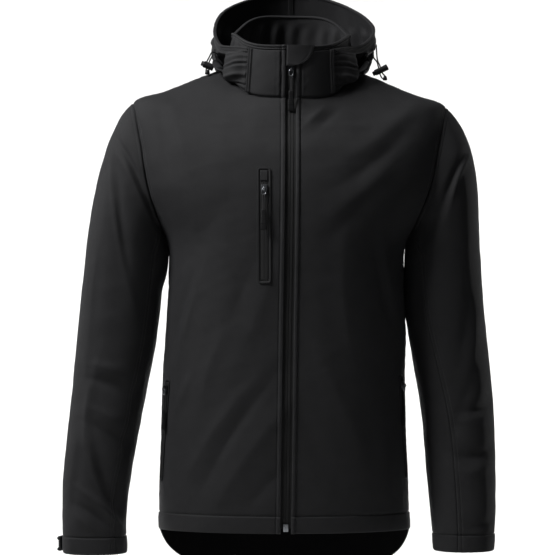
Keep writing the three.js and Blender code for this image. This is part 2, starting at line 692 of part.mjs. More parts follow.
// Pull: a wire loop with the cross bar at its top, a cord neck and a moulded grip that widens downwards.
const PULL_SIZE = { neck: 30, long: 62, top: 7.5, bottom: 10, thick: 2.6, eye: 2.3, cord: 1.8 };
function pull(size) {
  const { eye: eyeHalf, cord: cordHalf } = size;
  const loopHalf = eyeHalf + SLIDER.bar;
  const outline = new THREE.Shape();
  outline.moveTo(-loopHalf, SLIDER.bar / 2);
  outline.lineTo(loopHalf, SLIDER.bar / 2);
  outline.lineTo(loopHalf, -6.5);
  outline.lineTo(cordHalf, -10);
  outline.lineTo(cordHalf, -size.neck);
  outline.lineTo(size.top / 2, -size.neck - 1);
  outline.lineTo(size.bottom / 2, -size.long + 1);
  outline.lineTo(size.bottom / 2 - 1, -size.long);
  outline.lineTo(-size.bottom / 2 + 1, -size.long);
  outline.lineTo(-size.bottom / 2, -size.long + 1);
  outline.lineTo(-size.top / 2, -size.neck - 1);
  outline.lineTo(-cordHalf, -size.neck);
  outline.lineTo(-cordHalf, -10);
  outline.lineTo(-loopHalf, -6.5);
  const eye = new THREE.Path();
  eye.moveTo(-eyeHalf, -SLIDER.bar / 2);
  eye.lineTo(-eyeHalf, -6);
  eye.lineTo(eyeHalf, -6);
  eye.lineTo(eyeHalf, -SLIDER.bar / 2);
  outline.holes.push(eye);
  const flat = new THREE.ExtrudeGeometry(outline, { depth: SLIDER.bar, bevelEnabled: false });
  flat.translate(0, 0, -SLIDER.bar / 2);
  flat.rotateX(Math.PI / 2);
  const grip = new THREE.BoxGeometry(size.top - 0.6, size.thick, size.long - size.neck - 4);
  grip.translate(0, 0, -(size.neck + size.long) / 2);
  return joined([flat, grip]);
}

// A slider on the cloth with its pull, which hangs from the bail and leans against the cloth.
function zipPull(name, place, lift, swing) {
  const frame = seat(place, lift);
  add(`${name}_slider`, slider(), metal).applyMatrix4(frame);
  const hang = new THREE.Matrix4().makeTranslation(0, -PIVOT, 0);
  hang.multiply(new THREE.Matrix4().makeRotationX(rad(swing)));
  add(`${name}_pull`, pull(PULL_SIZE), plastic).applyMatrix4(frame.clone().multiply(hang));
}

// A place in the middle of the main zip
function onZip(z) {
  const at = atHeight(z, 0);
  return { outer: body(at, 0), normal: bodyNormal(at, 0) };
}

// Bottom box of the main zip
function zipBox() {
  const box = new THREE.BoxGeometry(7.4, 2.6, 11);
  box.translate(0, -1.3, 0);
  add("main_zip_box", box, metal).applyMatrix4(seat(onZip(-667), -CLOTH + 0.7));
}

// Sleeves
function armholePoint(side, angle) {
  const at = armholeHeight(angle);
  const out = along(ARMHOLE_ROWS, "at", at, "out");
  const turn = at > ARMHOLE_TOP - 0.01 || at < ARMHOLE_LOW + 0.01 ? 90 : turnAt(at, out);
  const front = Math.sin(rad(angle)) >= 0;
  return body(at, side * (front ? turn : 180 - turn));
}

// A ring of the arm at a height, by angle: 0 outside, 90 front, 180 inside, 270 back.
function armPoint(arm, z, angle) {
  const value = (column) => along(arm.rows, "z", z, column);
  const half = (value("outer") - value("inner")) / 2;
  const x = (value("outer") + value("inner")) / 2 + half * raised(Math.cos(rad(angle)), 0.93);
  return point(arm.side * x, value("mid") - value("deep") * raised(Math.sin(rad(angle)), 0.93), z);
}

// The sleeve's surface. down is 0 at the armhole, 1 at the first arm ring, 2 at the cuff.
function sleeve(arm, down, angle) {
  const first = arm.rows[0].z;
  const last = arm.rows[arm.rows.length - 1].z;
  const twist = arm.twist * smooth(down, 0.6, 1.8);
  if (down >= 1) return armPoint(arm, lerp(first, last, down - 1), angle - twist);
  const start = armholePoint(arm.side, angle);
  const end = armPoint(arm, first, angle - twist);
  const low = (1 - Math.cos(rad(angle))) / 2;
  const leave = point(
    arm.side * lerp(arm.capOut, 0.5, low),
    -0.25 * Math.sin(rad(angle)),
    -lerp(arm.capDown, 0.85, low),
  );
  const arrive = armPoint(arm, first - 6, angle - twist).sub(end).normalize();
  const chord = start.distanceTo(end);
  const t = Math.max(0, down);
  return start
    .multiplyScalar((1 + 2 * t) * (1 - t) ** 2)
    .addScaledVector(end, t * t * (3 - 2 * t))
    .addScaledVector(leave, lerp(arm.capFull, 0.5 * chord, low) * t * (1 - t) ** 2)
    .addScaledVector(arrive, -chord * t * t * (1 - t));
}

function sleeveNormal(arm, down, angle) {
  const at = THREE.MathUtils.clamp(down, 0.012, 1.99);
  return normalOf((u, v) => sleeve(arm, u, v), at, angle, 0.01, 0.6, arm.side);
}

function sleeveHeights(arm) {
  const length = arm.rows[0].z - arm.rows[arm.rows.length - 1].z;
  const cuff = (mm) => 2 - mm / length;
  const cap = [0, 0.1, 0.22, 0.35, 0.48, 0.62, 0.76, 0.88];
  const upperArm = [-262, -305, -345, -380];
  const elbow = [-402, -420, -440, -462, -485, -508, -532];
  const forearm = [-560, -592, -620, -644, -664];
  const downs = [...upperArm, ...elbow, ...forearm].map((z) => 1 + (arm.rows[0].z - z) / length);
  return [...cap, ...downs, cuff(CUFF_DEEP + 0.6), cuff(CUFF_DEEP - 0.6), 2].map((down) => ({
    down,
    hem: (2 - down) * length,
  }));
}

function sleevePart(name, arm, fromStep, toStep) {
  const folds = SLEEVE_FOLDS[name];
  const mirrored = (fold) => ({ ...fold, x: arm.side * fold.x, lean: arm.side * fold.lean });
  const backFolds = SLEEVE_BACK_FOLDS.map(mirrored);
  const step = 360 / ROUND_STEPS;
  return wall(trimmed(
    sleeveHeights(arm).map(({ down, hem }) =>
      counted(toStep - fromStep + 1, (k) => {
        const angle = (fromStep + k) * step;
        const surface = sleeve(arm, down, angle);
        const normal = sleeveNormal(arm, down, angle);
        const facing = smooth(Math.abs(normal.y), 0.1, 0.6);
        const fade = facing * smooth(down, 0.02, 0.25) * smooth(hem, CUFF_DEEP, CUFF_DEEP + 30);
        const rise = foldRise(normal.y < 0 ? folds : backFolds, surface) * fade;
        const relief = hem < CUFF_DEEP ? HEM_RISE : 0;
        return {
          outer: surface.clone().addScaledVector(normal, rise + relief),
          inner: surface.clone().addScaledVector(normal, rise - CLOTH),
        };
      }),
    ),
    ARMHOLE_GAP,
  ));
}

// Strap on the outside of the cuff: its sewn end lies flat and its free end stands off a little.
function cuffTab(arm) {
  const length = arm.rows[0].z - arm.rows[arm.rows.length - 1].z;
  const centre = CUFF_DEEP / 2;
  const half = 11;
  const steps = 9;
  const { from, to } = arm.tab;
  return wall(
    [-half, -half + 3, half - 3, half].map((across) =>
      counted(steps + 1, (k) => {
        const share = k / steps;
        const corner = Math.abs(across) === half && k === steps ? 3 : 0;
        const angle = lerp(from, to - corner, share) + arm.twist;
        const down = 2 - (centre - across) / length;
        const surface = sleeve(arm, down, angle);
        const normal = sleeveNormal(arm, down, angle);
        const lift = HEM_RISE + LAID_GAP + arm.tab.lift * smooth(share, 0.55, 1);
        return {
          outer: surface.clone().addScaledVector(normal, lift + 2.4),
          inner: surface.clone().addScaledVector(normal, lift),
        };
      }),
    ),
  );
}

// Hood: share runs from -1 at its right front edge round the back to 1, rise from its foot to its rim.
function hoodRim(share) {
  const angle = rad(share * HOOD.rimTurn);
  const y = HOOD.rimMid + HOOD.rimDeep * Math.cos(angle);
  const front = HOOD.rimMid + HOOD.rimDeep * Math.cos(rad(HOOD.rimTurn));
  const z = HOOD.rimFront + (y - front) * HOOD.rimTilt - HOOD.rimDip * Math.sin(angle) ** 2;
  const aside = HOOD.rimAside * Math.sin(angle) ** 2 - HOOD.rimSkew * Math.sin(2 * angle) ** 2;
  const x = HOOD.rimHalf * Math.sin(angle) + aside;
  return point(x + HOOD_MIDDLE.x, y, z);
}
function hoodFoot(share) {
  const turn = 180 - share * (180 - COLLAR_EDGE - 2);
  const at = NECK_SEAM - 8;
  return body(at, turn).addScaledVector(bodyNormal(at, turn), 3);
}
function hoodEdge(share, rise) {
  const turn = Math.sign(share) * (COLLAR_EDGE + 2 + 34 * (1 - Math.abs(share)) / 0.2);
  const at = lerp(NECK_SEAM + 5, COLLAR_TOP - 9, rise);
  return body(at, turn).addScaledVector(bodyNormal(at, turn), HOOD_STAND);
}
function hood(rise, share) {
  const foot = hoodFoot(share);
  const rim = hoodRim(share);
  const behind = Math.cos(rad(Math.min(Math.abs(share), 1) * 90)) ** 6;
  const middle = point(HOOD_MIDDLE.x, HOOD_MIDDLE.y, 0);
  const away = rim.clone().sub(middle).setZ(0).normalize();
  const reach = BAG.low + BAG.lowBack * behind;
  const low = foot.clone().addScaledVector(away, reach);
  low.x += BAG.aside;
  low.z -= reach * (BAG.slope + BAG.slopeBack * behind ** 1.3);
  const high = rim.clone().addScaledVector(away, BAG.rimOut + BAG.rimBack * behind);
  high.x += BAG.aside;
  high.z -= BAG.rimDrop + BAG.rimDropBack * behind;
  const bag = new THREE.CubicBezierCurve3(foot, low, high, rim).getPoint(rise);
  return bag.lerp(hoodEdge(share, rise), smooth(Math.abs(share), 0.82, 1));
}
function hoodHalf(side) {
  const shares = [0, 0.1, 0.2, 0.3, 0.41, 0.52, 0.62, 0.71, 0.78, 0.84, 0.89, 0.94, 1];
  const rises = [0, 0.06, 0.13, 0.22, 0.32, 0.43, 0.54, 0.65, 0.75, 0.84, 0.935, 0.945, 1];
  return wall(trimmed(
    rises.map((rise) =>
      shares.map((share) => {
        const surface = hood(rise, side * share);
        const normal = hoodNormal(rise, side * share);
        return {
          outer: surface.clone().addScaledVector(normal, rise >= 0.94 ? EDGE_RISE : 0),
          inner: surface.clone().addScaledVector(normal, -CLOTH),
        };
      }),
    ),
  ));
}
function hoodNormal(rise, share) {
  const a = THREE.MathUtils.clamp(rise, 0.006, 0.994);
  const b = THREE.MathUtils.clamp(share, -0.994, 0.994);
  return normalOf(hood, a, b, 0.005, 0.005, -1);
}

// Elastic cord of the hood's rim: out of one eyelet, through the toggle, round in the cord end, and back.
const CORD_WIDE = 2.2;
const CORDS = {
  hood_right: {
    side: -1,
    eyelets: [0.79, 0.73],
    down: [
      [-113, -13, 50],
      [-118, -17, 41],
      [-121, -17, 35],
      [-121.5, -17, 29],
      [-122.3, -17, 23],
      [-122.6, -17, 19.4],
    ],
    up: [
      [-120.4, -17, 16.8],
      [-118.2, -17, 19.4],
      [-118.2, -17, 23],
      [-118, -17, 29],
      [-117.4, -17, 35],
      [-114, -14, 42],
    ],
    toggle: { at: [-120.4, -17, 29], tilt: 112, long: 20, wide: 10.6 },
    end: { at: [-120.4, -17, 18.8], wide: 7.6 },
  },
  hood_left: {
    side: 1,
    eyelets: [0.72, 0.66],
    down: [
      [135, -6, 42],
      [139.5, -13, 35],
      [141.5, -14, 28],
      [143.2, -14, 21],
      [145, -14, 14],
      [147.6, -14, 9.8],
    ],
    up: [
      [151.4, -14, 8],
      [153.8, -14, 10.8],
      [151, -14, 14],
      [148, -14, 17.6],
      [146, -14, 22.4],
      [144, -14, 29],
      [141, -9, 37],
    ],
    toggle: { at: [144.6, -14, 21.6], tilt: 64, long: 25, wide: 9.6 },
    end: { at: [151.9, -14, 9.8], wide: 7 },
  },
};
function cordRoute({ side, eyelets, down, up }) {
  const [out, back] = eyelets.map((share) =>
    hood(0.86, side * share).addScaledVector(hoodNormal(0.86, side * share), 0.3 + CORD_WIDE / 2),
  );
  return [out, ...down.map((p) => point(...p)), ...up.map((p) => point(...p)), back];
}
function tube(points, wide, sides, steps) {
  const section = new THREE.Shape();
  for (let k = 0; k < sides; k += 1) {
    const angle = (k / sides) * 2 * Math.PI;
    const method = k === 0 ? "moveTo" : "lineTo";
    section[method]((wide / 2) * Math.cos(angle), (wide / 2) * Math.sin(angle));
  }
  const path = new THREE.CatmullRomCurve3(points, false, "centripetal");
  return new THREE.ExtrudeGeometry(section, { steps, extrudePath: path });
}
function drawcord(name, cord) {
  const route = cordRoute(cord);
  add(`${name}_drawcord`, tube(route, CORD_WIDE, 6, 40), elastic);
  const channel = tube(route, CORD_WIDE + 0.8, 6, 40);
  const barrel = new THREE.CylinderGeometry(cord.toggle.wide / 2, cord.toggle.wide / 2, cord.toggle.long, 12);
  barrel.rotateX(rad(90));
  barrel.rotateY(rad(cord.toggle.tilt));
  barrel.translate(...cord.toggle.at);
  add(`${name}_toggle`, cut(barrel, channel), plastic);
  const bell = new THREE.SphereGeometry(cord.end.wide / 2, 10, 7);
  bell.translate(...cord.end.at);
  add(`${name}_cord_end`, cut(bell, tube(route, CORD_WIDE + 1.3, 6, 40)), plastic);
}

// The jacket
add("front_right", wall(trimmed(FRONTS.right)), cloth);
add("front_left", wall(trimmed(FRONTS.left)), cloth);
add("back", wall(trimmed(backGrid())), cloth);
add("collar", wall(trimmed(collarGrid(), COLLAR_GAP)), cloth);
add("collar_front_right", collarFront(-1), cloth);
add("collar_front_left", collarFront(1), cloth);
add("chin_guard", chinGuard(), cloth);
for (const [name, arm] of Object.entries(ARMS)) {
  const front = SEAM_ANGLE / (360 / ROUND_STEPS);
  const back = BACK_SEAM_ANGLE / (360 / ROUND_STEPS);
  add(`sleeve_top_${name}`, sleevePart(name, arm, back - ROUND_STEPS, front), cloth);
  add(`sleeve_under_${name}`, sleevePart(name, arm, front, back), cloth);
  add(`cuff_tab_${name}`, cuffTab(arm), cloth);
}
add("hood_right", hoodHalf(-1), cloth);
add("hood_left", hoodHalf(1), cloth);
add("main_zip_tape_right", zipTape(-1), tape);
add("main_zip_tape_left", zipTape(1), tape);
zipBox();
zipPull("main_zip", onZip(15), -CLOTH + 0.9, -3);
for (const [name, size] of Object.entries(POCKETS)) zipPull(name, pocket(name, size), size.lift, 1);
for (const [name, cord] of Object.entries(CORDS)) drawcord(name, cord);

export default jacket;
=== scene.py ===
"""Softshell jacket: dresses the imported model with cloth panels, stitching, zips, cords and a studio.

The shape functions work in millimetres, in the row's own frame: +Z up, the front faces -Y and the wearer's
left is +X. The meshes are in metres. Each panel of cloth is a thin shell on its solid's form: a grid of
points on its outer face and one on its inner face. "at" runs up the garment from the hem to the neck seam
and on up the collar, and "turn" runs round it in degrees from the zip.
"""

import json
import math

import bpy
import numpy as np
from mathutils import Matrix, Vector

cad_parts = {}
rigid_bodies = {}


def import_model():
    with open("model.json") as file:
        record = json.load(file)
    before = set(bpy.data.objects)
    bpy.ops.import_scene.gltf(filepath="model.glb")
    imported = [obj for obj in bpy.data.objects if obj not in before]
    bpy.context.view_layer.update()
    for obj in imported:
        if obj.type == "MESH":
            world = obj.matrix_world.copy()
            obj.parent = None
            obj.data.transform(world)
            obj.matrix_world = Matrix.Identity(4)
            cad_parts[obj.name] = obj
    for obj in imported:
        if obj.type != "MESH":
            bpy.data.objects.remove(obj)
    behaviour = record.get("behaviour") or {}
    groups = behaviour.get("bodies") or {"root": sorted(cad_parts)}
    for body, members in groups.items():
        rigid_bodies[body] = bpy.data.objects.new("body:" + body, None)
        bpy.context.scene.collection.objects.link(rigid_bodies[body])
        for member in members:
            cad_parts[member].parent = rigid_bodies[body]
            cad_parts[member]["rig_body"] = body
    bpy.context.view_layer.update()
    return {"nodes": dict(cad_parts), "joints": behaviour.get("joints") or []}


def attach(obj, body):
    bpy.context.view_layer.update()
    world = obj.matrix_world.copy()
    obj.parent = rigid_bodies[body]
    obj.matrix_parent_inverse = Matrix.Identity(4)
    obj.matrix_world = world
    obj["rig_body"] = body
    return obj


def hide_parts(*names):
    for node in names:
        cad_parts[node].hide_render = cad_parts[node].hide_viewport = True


bl_info = {
    "name": "Softshell jacket",
    "version": (1, 0, 0),
    "blender": (4, 5, 0),
    "location": "3D View > Sidebar > Jacket",
    "description": "Cloth panels, stitching, zips, cords and a studio for a hooded softshell jacket",
    "category": "Object",
}

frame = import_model()
NODES = frame["nodes"]
MM = 0.001

# Sizes of the cut, in millimetres
CLOTH = 1.6
SEAM_HALF_GAP = 0.03
LAID_GAP = 0.6
ZIP_HALF = 7.7
EDGE_WIDTH = 6
EDGE_RISE = 1.1
HEM_DEEP = 25
HEM_RISE = 0.8
CUFF_DEEP = 26
ARMHOLE_LOW = 455
ARMHOLE_TOP = 650
NECK_SEAM = 805
COLLAR_TOP = 885
TAB_HALF = 11
NECK_MIDDLE = (8.5, 20)  # x and y of the middle of the neck opening
# Turns in degrees: the far edge of the collar's front panels, and the two seams of a sleeve
COLLAR_EDGE = 43
SEAM_ANGLE = 144
BACK_SEAM_ANGLE = 234
# Distances of the two lines of stitches from a seam, the length of a stitch, and how far the eyelets are up
# the hood, as a share of the way from its foot to its rim
SEAM_STITCH = 1.5
SECOND_STITCH = 6.6
STITCH_LONG = 2.5
EYELET_RISE = 0.86
# Steps of the meshes in millimetres, the length of cloth in a degree round a sleeve, and the gap in metres
# under which the corners of a metal part are joined
STEP = 3.2
BACK_STEP = 3.9
LIMB_STEP = 3
COLLAR_STEPS = (2.2, 2.5)
LOOP_STEP = 2.5
SLEEVE_DEGREE = 1.05
WELD_GAP = 0.00002
SIDES = {"right": -1, "left": 1}
# Distances from an edge at which a panel's mesh has a line, for each way of making an edge
SEWN = (0, 0.4, 0.9, 1.5, 2.3, 3.4)
ROLLED = (0, 0.3, 0.7, 1.2, 1.8, 2.5, 3.2, 3.8, 4.2, 4.7, 5.3, 6, 6.7, 7.3, 7.9, 8.6, 9.8)
HEMMED = (0, 0.4, 0.9, 1.6, 2.6, 22.4, 23.4, 24.2, 24.8, 25.3, 25.8, 26.4, 27.2, 28.4)


def table(names, *rows):
    """A small table: one array for each named column. The first column is its key."""
    return dict(zip(names.split(), np.array(rows, float).T))


BODY = table(
    "at side front back ease half fore aft round",
    (0, -681, 5, -71, 1.15, 192.5, 124, 103, 2.35),
    (60, -622, 3, -57, 1.5, 191.5, 127, 107, 2.35),
    (160, -522, 0, -25, 2.5, 188, 130, 110, 2.35),
    (300, -382, 0, -6, 3, 184.5, 128, 106, 2.35),
    (400, -290, 0, 0, 4, 180.5, 130, 111, 2.3),
    (ARMHOLE_LOW, -236, 0, 0, 4, 186, 131, 117, 2.3),
    (530, -160, -3, 2, 4, 236, 127, 121, 2.25),
    (590, -92, -16, 4, 4, 249, 116, 117, 2.2),
    (ARMHOLE_TOP, -31, -42, 11, 4, 240, 100, 106, 2.1),
    (700, -13, -48, 16, 3.6, 193, 95, 100, 2.05),
    (750, 6.5, -52, 17, 2.8, 145, 89, 92, 2),
    (NECK_SEAM, 26, -52, 12, 1.8, 96, 82, 82, 2),
)
COLLAR = table(
    "at side front back ease half fore aft round",
    (NECK_SEAM, 26, -52, 12, 1.8, 96, 82, 82, 2),
    (845, 52, -39, 25, 2.2, 93, 86, 72, 2),
    (COLLAR_TOP, 79, -26, 36, 2.6, 90, 86, 62, 2),
)
LEAN = table(
    "z middle zip",
    (-760, 2, 2),
    (-690, -2, -0.8),
    (-620, -3.3, 0.2),
    (-450, -3.3, 2.4),
    (-385, -0.5, 3.2),
    (-250, 1, 5.4),
    (-110, 5, 6.9),
    (0, 5.5, 7.3),
    (90, 8.5, 8.5),
    (130, 8.5, 8.5),
)
ARMHOLE = table("at out", (ARMHOLE_LOW, 186), (530, 213), (590, 226), (ARMHOLE_TOP, 240))
ARM_RIGHT = {
    "side": -1, "twist": 12, "cap_out": 0.82, "cap_down": 0.57, "cap_full": 152, "tab": (-78, 4, 2.6),
    "touch": (-262, 42, 6.4),
    "rows": table(
        "z outer inner mid deep",
        (-262, 309, 187, 4, 68),
        (-382, 321, 198, 2, 64),
        (-485, 330, 217, -8, 58),
        (-594, 340, 236, -26, 51),
        (-660, 340.5, 243, -38, 45),
        (-713, 338, 242, -46, 39),
    ),
}
ARM_LEFT = {
    "side": 1, "twist": 41, "cap_out": 0.76, "cap_down": 0.65, "cap_full": 232, "tab": (-150, -68, 0.8),
    "touch": (-288, 76, 5.4),
    "rows": table(
        "z outer inner mid deep",
        (-262, 299.5, 188, 4, 68),
        (-357, 306, 187, 3, 65),
        (-414, 312, 194, 0, 62),
        (-504, 319, 208, -10, 57),
        (-590, 320, 214.5, -24, 51),
        (-660, 318.5, 220.5, -37, 45),
        (-709, 315, 224, -45, 39),
    ),
}
ARMS = {"right": ARM_RIGHT, "left": ARM_LEFT}

# Creases, seen from the front: middle, lean of the top to +X in degrees, half length, half width, rise of the
# ridge (a furrow is negative) and how far its ends bow to +X.
FOLDS = "x z lean long wide rise bow"
# Those of a sleeve may also open towards one end: 1 towards the top end, -1 towards the lower end.
ARM_FOLDS = "x z lean long wide rise bow opens"
FRONT_FOLDS = table(
    FOLDS,
    (-82, -531, 32, 95, 9, -3, 6),
    (-62, -568, 34, 115, 14, 3.2, 6),
    (-104, -520, 34, 90, 10, 2.5, 6),
    (-34, -610, 42, 60, 12, -2.5, 0),
    (-151, -370, 12, 60, 6, 3.5, 3),
    (-160, -352, 14, 50, 6, -2.5, 3),
    (-155, -471, 20, 38, 6, 2.8, 0),
    (-71, -328, 25, 75, 14, -2.4, -5),
    (-40, -345, 22, 80, 12, 1.6, -4),
    (-112, -420, 18, 90, 13, 2.5, 4),
    (-182, -103, -10, 45, 9, -3, 0),
    (-160, -85, -16, 50, 10, 1.8, 0),
    (-120, -225, 35, 60, 20, -1.6, 0),
    (51, -45, 44, 30, 7, 3.6, 0),
    (66, -54, 44, 30, 7, -1.6, 0),
    (152, -77, 50, 64, 14, 2.4, -6),
    (137, -119, 50, 70, 14, -2.6, -6),
    (118, -165, 48, 62, 14, 2.6, -5),
    (96, -205, 42, 60, 15, -2, 0),
    (86, -331, -5, 85, 12, 1.8, 6),
    (155, -305, -12, 60, 6, 4, 4),
    (143, -312, -12, 55, 6, -2.6, 4),
    (90, -500, -24, 120, 20, 2.6, 0),
    (52, -560, -28, 90, 16, -1.4, 0),
    (150, -560, -8, 80, 14, 2.4, 0),
)
BACK_FOLDS = table(
    FOLDS,
    (-110, -250, -28, 90, 12, -4.5, 6),
    (-90, -262, -28, 85, 10, 3, 6),
    (115, -260, 24, 95, 13, -4.5, -6),
    (95, -272, 24, 85, 10, 3, -6),
    (-55, -470, 12, 110, 16, 4, 0),
    (-30, -480, 14, 100, 11, -2.6, 0),
    (70, -500, -16, 120, 15, 4, 0),
    (48, -510, -16, 100, 10, -2.6, 0),
    (10, -340, 80, 90, 12, -3, 8),
    (0, -362, 84, 80, 9, 2, 8),
    (-140, -120, -30, 60, 12, 3, 0),
    (-124, -132, -30, 60, 9, -2.4, 0),
    (146, -125, 32, 60, 12, 3, 0),
    (128, -138, 32, 60, 9, -2.4, 0),
    (-120, -590, 10, 80, 12, -2.6, 0),
    (130, -600, -8, 80, 12, -2.6, 0),
)
SLEEVE_FOLDS = {
    "right": table(
        ARM_FOLDS,
        (-219, -150, -27, 62, 5, -7.5, -3, 0),
        (-231, -152, -27, 60, 5, 3, -3, 0),
        (-258, -206, -8, 92, 4, 3.2, 4, 0),
        (-249, -214, -8, 92, 8, -4.4, 4, 0),
        (-236, -290, -8, 60, 9, 2.6, 0, 0),
        (-286, -300, 4, 80, 10, -2, 0, 0),
        (-268, -456, -70, 34, 13, -6.5, -4, -1),
        (-272, -432, -74, 34, 9, 2.4, -4, -1),
        (-264, -532, -58, 34, 13, -6, -3, -1),
        (-268, -504, -66, 34, 9, 2.4, -3, -1),
        (-301, -500, 6, 70, 7, 3.6, 6, 0),
        (-290, -588, -18, 42, 6, 4.2, 5, 0),
        (-274, -590, -22, 50, 13, -6.5, 5, -1),
        (-271, -645, -44, 44, 5, 5, -6, 0),
        (-284, -655, -52, 30, 6, -5.5, -4, 0),
        (-262, -632, -40, 34, 8, -4, -4, -1),
        (-300, -668, -50, 30, 5, 3, 0, 0),
        (-316, -600, 8, 60, 9, -2.4, 0, 0),
    ),
    "left": table(
        ARM_FOLDS,
        (262, -140, 24, 44, 4, 3.2, 5, 0),
        (250, -150, 24, 48, 6, -3.4, 5, 0),
        (232, -190, 24, 50, 8, -2.4, 0, 0),
        (280, -215, 4, 60, 12, 1.2, 0, 0),
        (288, -377, 7, 66, 9, 2, -4, 0),
        (272, -372, 7, 60, 9, -2, -4, 0),
        (296, -494, 74, 32, 11, -5.5, -4, 1),
        (290, -510, 78, 34, 9, 2.4, -4, 1),
        (282, -566, 84, 34, 11, -5.5, -10, 0),
        (284, -588, 84, 34, 9, 2.4, -10, 0),
        (292, -672, 76, 22, 9, -4.5, -6, 0),
        (262, -500, 20, 60, 10, -2, 0, 0),
    ),
}
SLEEVE_BACK_FOLDS = table(
    ARM_FOLDS,
    (262, -445, 76, 36, 8, -6, 4, 1),
    (264, -463, 78, 34, 7, 3.6, 4, 1),
    (268, -506, 84, 34, 8, -6, 3, 1),
    (268, -524, 86, 32, 7, 3.2, 3, 1),
    (255, -190, 14, 62, 9, -4.4, 0, 0),
    (270, -186, 14, 60, 7, 3, 0, 0),
    (278, -646, 60, 34, 6, -4.8, 3, 0),
    (276, -630, 60, 34, 6, 3, 3, 0),
    (266, -330, 10, 60, 10, -2.4, 0, 0),
    (286, -580, -14, 54, 9, 2.6, 0, 0),
)
# The hood's rim is an oval: half its width, its middle and half its depth from front to back, the turn at
# which it ends, the height of its front, its tilt, and how far its sides dip, stand out and are skewed.
HOOD_RIM = {
    "half": 124, "mid": 40, "deep": 108, "turn": 145, "front": 46, "tilt": 0.585, "dip": 6, "aside": 4.5,
    "skew": 6,
}
# Where the hood's bag hangs between its foot and its rim. Values with "back" are added behind the neck.
HOOD_BAG = {
    "aside": 3, "low": 27, "low_back": 51, "slope": 0.36, "slope_back": 1.11, "out": 4, "back": 108,
    "drop": 50, "drop_back": 187,
}
HOOD_STAND = 3.6
POCKETS = {
    "chest_pocket": {"side": -1, "top": -134, "bottom": -305, "wide": 20, "zip": 12},
    "side_pocket_right": {"side": -1, "top": -450, "bottom": -605, "wide": 15, "zip": 8},
    "side_pocket_left": {"side": 1, "top": -444, "bottom": -601, "wide": 15, "zip": 8},
}
CHEST_FROM = 28.2
CHEST_LEAN = 0.018
HIP_LINE = table(
    "at turn",
    (0, 76.5), (80, 76), (230, 69), (400, 62), (ARMHOLE_LOW, 58), (530, 44), (590, 42), (ARMHOLE_TOP, 52),
    (NECK_SEAM, 58),
)
CORD_WIDE = 2.2
CORDS = {
    "hood_right": {
        "side": -1,
        "toggle": ((-120.4, -17, 29), 112, 20, 10.6),
        "end": ((-120.4, -17, 18.8), 7.6),
        "eyelets": (0.79, 0.73),
        "route": [
            (-113, -13, 50), (-118, -17, 41), (-121, -17, 35), (-121.5, -17, 29), (-122.3, -17, 23),
            (-122.6, -17, 19.4), (-120.4, -17, 16.8), (-118.2, -17, 19.4), (-118.2, -17, 23), (-118, -17, 29),
            (-117.4, -17, 35), (-114, -14, 42),
        ],
    },
    "hood_left": {
        "side": 1,
        "toggle": ((144.6, -14, 21.6), 64, 25, 9.6),
        "end": ((151.9, -14, 9.8), 7),
        "eyelets": (0.72, 0.66),
        "route": [
            (135, -6, 42), (139.5, -13, 35), (141.5, -14, 28), (143.2, -14, 21), (145, -14, 14),
            (147.6, -14, 9.8), (151.4, -14, 8), (153.8, -14, 10.8), (151, -14, 14), (148, -14, 17.6),
            (146, -14, 22.4), (144, -14, 29), (141, -9, 37),
        ],
    },
}


def along(rows, position, column):
    """Smooth value of one column of a table at positions along its key."""
    key = next(iter(rows.values()))
    value = rows[column]
    position = np.asarray(position, float)
    inner = key[1:-1]
    i = np.searchsorted(inner, position) if key[-1] > key[0] else np.searchsorted(-inner, -position)
    low = np.maximum(np.arange(len(key)) - 1, 0)
    high = np.minimum(np.arange(len(key)) + 1, len(key) - 1)
    slope = (value[high] - value[low]) / (key[high] - key[low])
    span = key[i + 1] - key[i]
    t = (position - key[i]) / span
    rise = value[i] * (1 + 2 * t) * (1 - t) ** 2 + value[i + 1] * t * t * (3 - 2 * t)
    return rise + slope[i] * span * t * (1 - t) ** 2 - slope[i + 1] * span * t * t * (1 - t)


def raised(value, power):
    return np.sign(value) * np.abs(value) ** power


def smooth(value, low, high):
    t = np.clip((value - low) / (high - low), 0, 1)
    return t * t * (3 - 2 * t)


def mix(a, b, share):
    return a + (b - a) * share


def unit(vectors):
    return vectors / np.maximum(np.linalg.norm(vectors, axis=-1, keepdims=True), 1e-9)


def run_along(path):
    """Distance of each point of a path from its start."""
    return np.concatenate([[0], np.linalg.norm(np.diff(path, axis=0), axis=1).cumsum()])


def at_places(places, run, values):
    """Rows of values at places along a run."""
    return np.stack([np.interp(places, run, column) for column in values.T], -1)


def ring_angles(count):
    return np.linspace(0, 2 * math.pi, count + 1)[:-1]


def sin_deg(angle):
    return np.sin(np.radians(angle))


def cos_deg(angle):
    return np.cos(np.radians(angle))


def body(at, turn):
    """Points of the body and the collar."""
    at, turn = np.broadcast_arrays(np.asarray(at, float), np.asarray(turn, float))

    def value(column):
        return np.where(at < NECK_SEAM, along(BODY, at, column), along(COLLAR, at, column))

    across, ahead = sin_deg(turn), cos_deg(turn)
    power = 2 / value("round")
    half = value("half")
    x = half * raised(across, power)
    y = -raised(ahead, power) * np.where(ahead > 0, value("fore"), value("aft"))
    toward = np.sin(np.abs(ahead) * math.pi / 2) ** value("ease")
    z = value("side") + np.where(ahead > 0, value("front"), value("back")) * toward
    level = np.minimum(z, 129)
    middle = along(LEAN, level, "middle")
    zip_shift = along(LEAN, level, "zip") - middle
    fall = 0.0145 * x * smooth(z, -300, -90)
    return np.stack([x + middle + zip_shift * (1 - np.minimum(1, (x / half) ** 2)), y, z - fall], -1)


